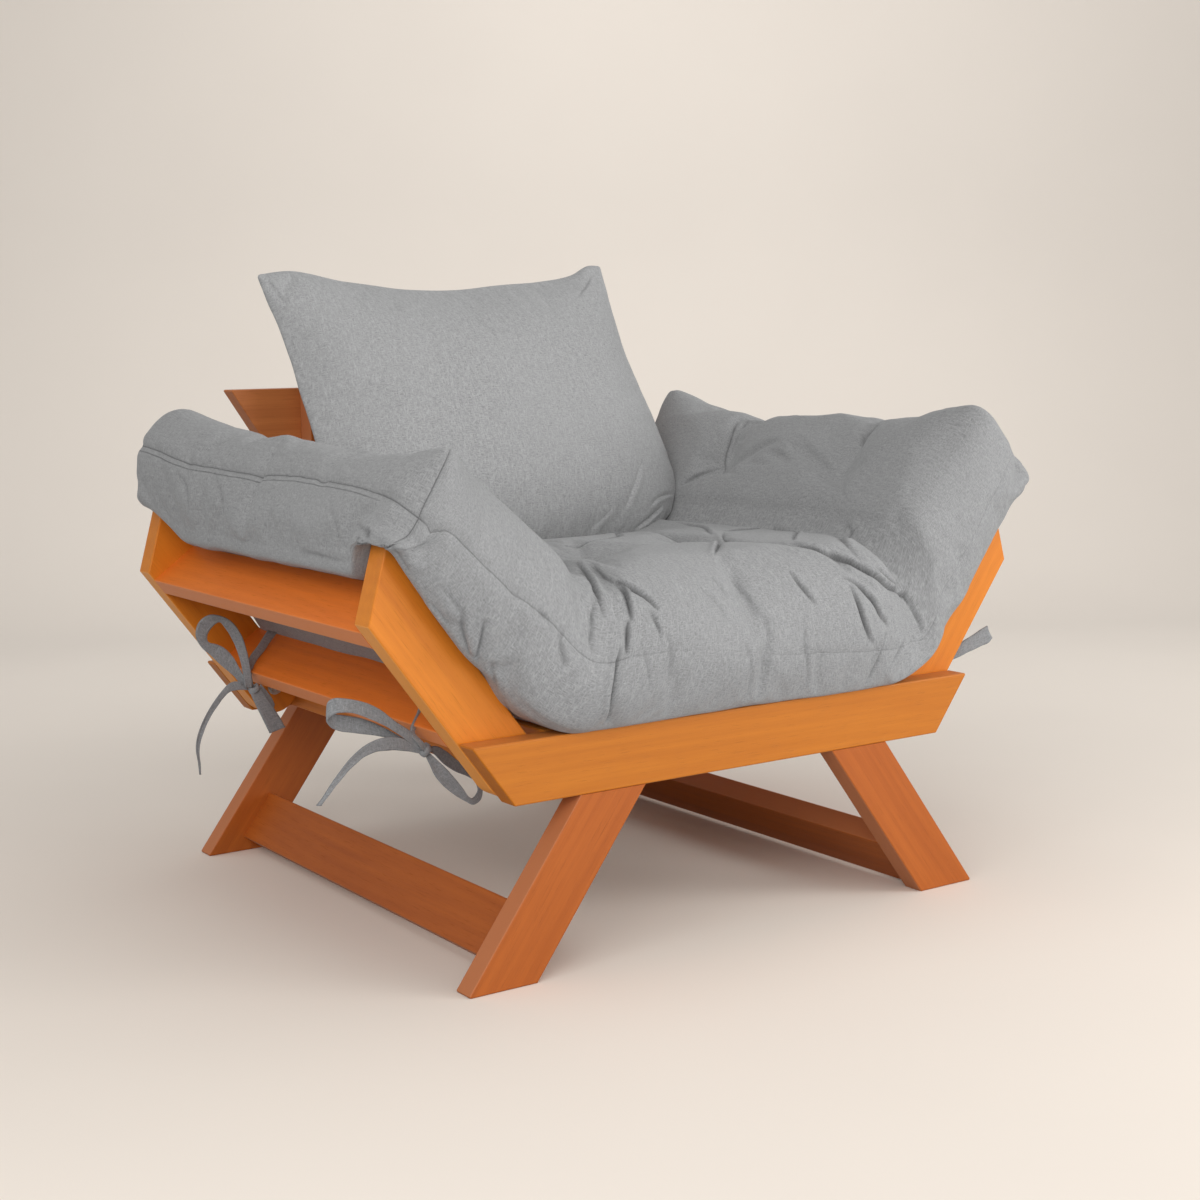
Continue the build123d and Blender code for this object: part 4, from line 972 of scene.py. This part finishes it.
TAPE_WIDTH, TAPE_HALF = 0.022, 0.0008
REAR_BOW, FRONT_BOW, RIGHT_END_PLACE = 0.700, 0.150, 0.108
MIRRORED_IN = 0.012
REAR_LOOP = (
    (251.8, 687.6, 244.9, 687.6, -4, -4), (251.4, 675.7, 243.3, 674.7, -8, -6),
    (249.8, 663.5, 240.4, 661.4, -12, -6), (246.3, 649.2, 236.3, 648.2, -14, -5),
    (240.8, 633.9, 231, 636.9, -12, -3), (232, 622.2, 225.9, 628.8, -8, 0),
    (221.8, 616.5, 220.4, 622.2, -3, 3), (210.6, 614.9, 215.1, 623.7, 2, 6),
    (201.4, 619.6, 210.6, 628.8, 6, 9), (196.3, 628.8, 207.1, 634.9, 9, 11),
    (196.3, 638, 206.9, 639, 11, 12), (201.4, 647.1, 209, 642.4, 12, 12),
    (210.6, 655.3, 216.7, 644.3, 12, 10), (220.8, 665.1, 225.9, 649.2, 9, 7),
    (230, 672.7, 234.1, 658.4, 6, 4), (236.1, 678.8, 241.2, 671.6, 2, 1),
    (241.2, 685.9, 247.3, 681.8, -1, -1),
)
REAR_STRAP = (
    (267.8, 630.2, 276.7, 632.4, 16, 16), (258.4, 645.3, 264.5, 650, 10, 12),
    (249, 660.4, 252.7, 667.1, 5, 6), (248.4, 671.6, 251.4, 675.7, 3, 3),
    (250.4, 683.9, 253.5, 685.9, 1, 1),
)
REAR_BROAD_END = (
    (250.4, 691, 258.6, 688, -3, -3), (251.8, 696.1, 263.3, 692, -5, -3),
    (255.1, 703.3, 267.8, 699.2, -7, -3), (259.6, 712.4, 273.9, 708.4, -8, -3),
    (264.7, 722.7, 280, 718.2, -8, -2), (269.8, 733.3, 285.1, 727.1, -7, -1),
)
REAR_THIN_END = (
    (244.9, 682.9, 248.4, 690, 0, 0), (235.1, 681.4, 239.2, 690, 2, 0), (228.6, 683.9, 230.6, 691.6, 3, 0),
    (220.8, 692.4, 223.3, 698.2, 3, 1), (213.7, 702.2, 216.7, 707.1, 2, 1),
    (206.5, 714.1, 210.2, 717.3, 1, 0), (200.8, 726.3, 204.9, 728.8, 0, -1),
    (196.7, 740, 200.8, 741, -1, -2), (196.1, 750.2, 199.2, 750.6, -2, -2),
    (198, 761.4, 200.2, 761.4, -2, -2), (199.6, 774.7, 201, 774.3, -2, -2),
)
REAR_SHORT_END = (
    (257.6, 690.4, 260.8, 684.3, 4, 4), (265.3, 699.2, 269.8, 695.1, 6, 7),
    (272.2, 710.8, 274.5, 704.3, 7, 8),
)
FRONT_LOOP = (
    (422.9, 742, 424.9, 752.2, -4, -4), (414.7, 733.9, 414.7, 746.7, -7, -5),
    (404.5, 727.1, 403.5, 738, -9, -6), (394.3, 720.6, 393.3, 730.8, -11, -7),
    (382, 710.8, 382, 724.3, -12, -8), (369.8, 704.3, 368.8, 718.6, -12, -9),
    (355.5, 700.2, 354.5, 713.5, -11, -9), (343.3, 698.4, 343.3, 712.4, -8, -7),
    (335.1, 698.2, 336.1, 713.5, -5, -4), (329.6, 700.2, 330.6, 716.5, 0, 0),
    (327.3, 705.3, 327.3, 720.6, 5, 5), (330, 712, 330.6, 727.1, 9, 10),
    (337.1, 714.5, 338.2, 730.8, 12, 14), (349.4, 716.1, 349.4, 732.4, 14, 16),
    (363.7, 719, 363.7, 734.1, 14, 15), (375.9, 723.7, 378, 735.9, 12, 12),
    (390.2, 730.8, 390.2, 738.6, 8, 8), (404.5, 739, 402.4, 742.7, 4, 4),
    (418.8, 748.2, 417.8, 751.6, 1, 1),
)
FRONT_THIN_END = (
    (420.8, 747.6, 421.8, 753.9, -2, -2), (410.6, 741.4, 410.6, 751.6, -5, -2),
    (396.3, 737.3, 398.4, 750.2, -7, -2), (381, 738.6, 384.1, 750.4, -8, -2),
    (365.7, 745.5, 370.8, 753.3, -7, -3), (351.4, 757.8, 357.6, 761.8, -6, -4),
    (340.2, 771.6, 345.7, 773.7, -5, -4), (330, 785.9, 335.1, 786.9, -4, -4),
    (320.8, 800.2, 325.3, 799.8, -4, -4), (316.3, 805.7, 321.2, 805.7, -4, -4),
)
FRONT_STRAP = (
    (419.2, 706.3, 425.9, 710.4, 14, 14), (417.3, 713.1, 422.9, 717.8, 10, 10),
    (413.3, 721.6, 417.8, 725.7, 2, 4), (410.6, 730.8, 414.3, 732.4, -6, -4),
    (412.2, 737.3, 417.8, 737.3, -9, -8), (417.8, 744.1, 423.9, 743.1, -10, -9),
    (422.9, 751.2, 428, 749.2, -8, -7),
)
FRONT_LONG_LOOP = (
    (430, 753.3, 425.9, 756.3, -3, -3), (437.6, 760.4, 430, 765.5, -5, -3),
    (445.3, 767.6, 434.1, 774.7, -7, -3), (454.5, 777.8, 442.2, 784.9, -8, -3),
    (462.7, 788, 453.5, 794.1, -6, -2), (468.8, 796.5, 465.7, 801.4, -2, 0),
    (472.7, 798.2, 473.3, 804.7, 3, 3), (475.9, 794.7, 480, 800.2, 7, 6), (478, 789.6, 482, 793.1, 10, 9),
    (475.9, 782.9, 482, 783.9, 12, 12), (468.2, 776.7, 471.8, 770.6, 12, 13),
    (455.5, 771.6, 458.6, 761.4, 11, 12), (443.3, 763.5, 447.3, 752.2, 9, 9),
    (433.1, 753.3, 436.1, 746.1, 5, 5), (428, 751.2, 428, 747.1, 1, 1),
)
RIGHT_END = (
    (897, 679, 897, 685, 40, 40), (911, 671, 909, 680, 34, 34), (930, 660, 926, 671, 20, 20),
    (952.1, 648.8, 945.7, 662.8, 6, 6), (959.1, 643.7, 952.8, 659.6, 4, 4),
    (963.9, 640.5, 959.1, 656.6, 2, 2), (971.9, 635.7, 968.7, 651.8, 0, 0),
    (980.2, 630, 980.8, 646, -2, -2), (985.3, 626.9, 988.5, 642.1, -3, -3),
    (987.2, 625.8, 992, 637.8, -3, -3),
)
# Waist of each bow and a place that its knot points to
REAR_KNOT = ((254.5, 689.0), (259.5, 699.0))
FRONT_KNOT = ((425.5, 750.0), (433.0, 757.0))


def seen_at(place, depth):
    """Point seen at a place in the frame, at a depth behind the front rail's face."""
    way = sight(*place)
    return np.array(CAMERA_PLACE + way * ((RAIL_FACE + depth - CAMERA_PLACE.y) / way.y))


def tape_skin(rows, depth, inward=0.0):
    """Skin and cloth map of a flat tape with hemmed edges."""
    sides = [np.array([seen_at(row[side * 2:side * 2 + 2], depth + row[4 + side] * MILLI) for row in rows])
             for side in (0, 1)]
    middle = (sides[0] + sides[1]) / 2
    run = np.concatenate([[0], np.cumsum(np.linalg.norm(np.diff(middle, axis=0), axis=1))])
    steps, across = max(16, int(run[-1] / 0.0035)), 8
    at = np.linspace(0, run[-1], steps + 1)
    near, far = [np.stack([along_table(at, run, side[:, axis]) for axis in range(3)], 1) for side in sides]
    share = np.arange(across + 1) / across
    grid = near[:, None] + (far - near)[:, None] * share[None, :, None]
    grid[..., 0] += inward
    normal = np.cross(np.gradient(grid, axis=0), np.gradient(grid, axis=1))
    normal /= np.maximum(np.linalg.norm(normal, axis=2, keepdims=True), 1e-12)
    # The tape cups across its width, and its far edge ripples a little
    cup = 0.0012 * np.sin(np.pi * share)[None, :] * np.sin(at * 41.0)[:, None]
    cup = cup + 0.0005 * np.sin(at * 230.0)[:, None] * share[None, :]
    grid = grid + normal * cup[..., None]
    hem = np.where((share < 0.14) | (share > 0.86), 1.5, 1.0)
    cells, quads, _ = block_skin((steps, across, 1))
    i, j, k = cells.T
    points = grid[i, j] + normal[i, j] * ((k * 2 - 1) * TAPE_HALF * hem[j])[:, None]
    place = np.stack([at[i], share[j] * TAPE_WIDTH + k * 0.05], 1)
    return points, quads, place[quads]


def knot_skin(waist, toward_place, depth, inward=0.0, radius=0.0075, half=0.0058, thick=0.0024):
    """A turn of tape round the waist of a bow."""
    centre = seen_at(waist, depth - 0.002)
    axis = seen_at(toward_place, depth - 0.002) - centre
    axis /= np.linalg.norm(axis)
    centre[0] += inward
    out = np.array([0.0, 1.0, 0.0])
    side = np.cross(axis, out)
    side /= np.linalg.norm(side)
    rounds, tubes = 32, 12
    turn = np.arange(rounds) * 2 * math.pi / rounds
    tube = np.arange(tubes) * 2 * math.pi / tubes
    swing = radius * (1 + 0.10 * np.sin(3 * turn))[:, None] + thick * np.cos(tube)[None, :]
    points = (centre + side * (swing * np.cos(turn)[:, None])[..., None]
              + out * (0.8 * swing * np.sin(turn)[:, None])[..., None]
              + axis * (half * np.sin(tube)[None, :] * (1 + 0.2 * np.cos(2 * turn))[:, None])[..., None])
    i, j = (grid.ravel() for grid in np.meshgrid(np.arange(rounds), np.arange(tubes), indexing="ij"))
    steps = ((0, 0), (0, 1), (1, 1), (1, 0))
    quads = np.stack([(i + di) % rounds * tubes + (j + dj) % tubes for di, dj in steps], 1)
    places = np.stack([np.stack([(i + di) * 0.0016, (j + dj) * 0.002], 1) for di, dj in steps], 1)
    return points.reshape(-1, 3), quads, places


def mirror(skins):
    """Skins of a bow on the other side of the chair."""
    return [(skin * (-1, 1, 1), corners[:, ::-1], place[:, ::-1]) for skin, corners, place in skins]


def make_bow(name, body, node, skins, cloth):
    """A bow as one piece, which rides on its arm."""
    points, quads, places = zip(*skins)
    first = np.cumsum([0] + [len(skin) for skin in points])
    quads = [corners + start for corners, start in zip(quads, first)]
    piece = mesh_object(name, np.concatenate(points), np.concatenate(quads), np.concatenate(places))
    piece.data.materials.append(cloth)
    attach(piece, body)
    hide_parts(node)


def tie_bows(cloth):
    """The four pairs of tapes that hold the mattress to the arms."""
    rear_tapes = (REAR_LOOP, REAR_STRAP, REAR_BROAD_END, REAR_THIN_END, REAR_SHORT_END)
    front_tapes = (FRONT_LOOP, FRONT_THIN_END, FRONT_STRAP, FRONT_LONG_LOOP)
    rear = [tape_skin(rows, REAR_BOW) for rows in rear_tapes]
    rear.append(knot_skin(*REAR_KNOT, REAR_BOW))
    front = [tape_skin(rows, FRONT_BOW) for rows in front_tapes]
    front.append(knot_skin(*FRONT_KNOT, FRONT_BOW))
    right = [tape_skin(rows, FRONT_BOW, MIRRORED_IN) for rows in (FRONT_LOOP, FRONT_STRAP, FRONT_LONG_LOOP)]
    right.append(knot_skin(*FRONT_KNOT, FRONT_BOW, MIRRORED_IN))
    make_bow("left_rear_bow", "left_arm", "left_rear_tie", rear, cloth)
    make_bow("left_front_bow", "left_arm", "left_front_tie", front, cloth)
    make_bow("right_rear_bow", "right_arm", "right_rear_tie", mirror(rear), cloth)
    make_bow("right_front_bow", "right_arm", "right_front_tie",
             mirror(right) + [tape_skin(RIGHT_END, RIGHT_END_PLACE)], cloth)


# Studio

FLOOR_FRONT, FLOOR_REAR, FLOOR_HALF = -6.0, 2.6, 8.0
BACKDROP_CURVE, BACKDROP_TOP, CURVE_STEPS = 1.4, 6.0, 12


def make_stage():
    """A pale floor that rises into a backdrop behind the chair."""
    depth = [(FLOOR_FRONT, 0.0), (FLOOR_REAR, 0.0)]
    for step in range(1, CURVE_STEPS + 1):
        turn = math.pi / 2 * step / CURVE_STEPS
        depth.append((FLOOR_REAR + BACKDROP_CURVE * math.sin(turn),
                      BACKDROP_CURVE - BACKDROP_CURVE * math.cos(turn)))
    depth.append((FLOOR_REAR + BACKDROP_CURVE, BACKDROP_TOP))
    turn = math.radians(CAMERA_TURN)
    turn_sin, turn_cos = math.sin(turn), math.cos(turn)
    points = [(across * turn_cos + away * turn_sin, -across * turn_sin + away * turn_cos, height)
              for away, height in depth for across in (-FLOOR_HALF, FLOOR_HALF)]
    quads = [(row, row + 1, row + 3, row + 2) for row in range(0, len(points) - 2, 2)]
    floor = mesh_object("floor", points, quads)
    paint = Paint("pale_floor")
    mottle = paint.noise(paint.place(), (1.5, 1.5, 1.5), 2.0)
    warm = paint.mixed(mottle, (0.87, 0.790, 0.706), (0.91, 0.828, 0.740))
    # The camera sees a warm white; the light that the floor throws back at the chair is plain grey
    seen = paint.add("ShaderNodeLightPath")["Is Camera Ray"]
    floor.data.materials.append(paint.finish({
        "Base Color": paint.mixed(seen, (0.50, 0.50, 0.50), warm),
        "Roughness": 0.9, "Specular IOR Level": 0.1}))


# Lamps: name, place, point that it shines at, size and power
WORLD_LIGHT = 0.46
LAMPS = (("key", (1.9, -2.3, 1.15), (0.3, -0.2, 0.50), 1.3, 33.0),
         ("front", (-2.4, -3.4, 2.2), (0.0, 0.0, 0.4), 2.0, 44.0),
         ("low", (0.9, -3.8, 0.75), (0.0, 0.0, 0.5), 1.6, 27.0),
         ("left", (-2.3, -1.5, 1.7), (0.4, -0.1, 0.6), 1.4, 16.0),
         ("right", (3.2, 0.0, 1.6), (0.0, 0.0, 0.4), 2.0, 5.0),
         ("wall", (1.3, 1.52, 2.5), (3.0, 3.2, 1.0), 3.0, 22.0),
         ("far_wall", (-1.5, 1.5, 2.5), (-2.9, 3.2, 1.0), 3.0, 18.0),
         ("top", (0.3, 0.0, 4.2), (0.0, 0.0, 0.3), 2.6, 12.0))


def make_lights():
    """Soft white studio light from broad square lamps and an even world."""
    world = bpy.data.worlds.new("studio")
    world.use_nodes = True
    bpy.context.scene.world = world
    back = world.node_tree.nodes["Background"]
    back.inputs["Color"].default_value = (1.0, 1.0, 1.0, 1.0)
    back.inputs["Strength"].default_value = WORLD_LIGHT
    for name, place, aim, size, power in LAMPS:
        data = bpy.data.lights.new(name, "AREA")
        data.shape, data.size, data.energy = "SQUARE", size, power
        data.color = (1.0, 1.0, 1.0)
        lamp = bpy.data.objects.new(name, data)
        bpy.context.scene.collection.objects.link(lamp)
        lamp.location = place
        lamp.rotation_euler = (Vector(aim) - Vector(place)).to_track_quat("-Z", "Y").to_euler()


make_camera()
dress_frame()
lay_mattress(woven("mattress_linen", (0.305, 0.305, 0.305), sewn=True))
make_cushion(woven("cushion_linen", (0.350, 0.350, 0.350)))
tie_bows(woven("tape_cotton", (0.265, 0.270, 0.276)))
make_stage()
make_lights()
bpy.context.scene.view_settings.view_transform = "Standard"
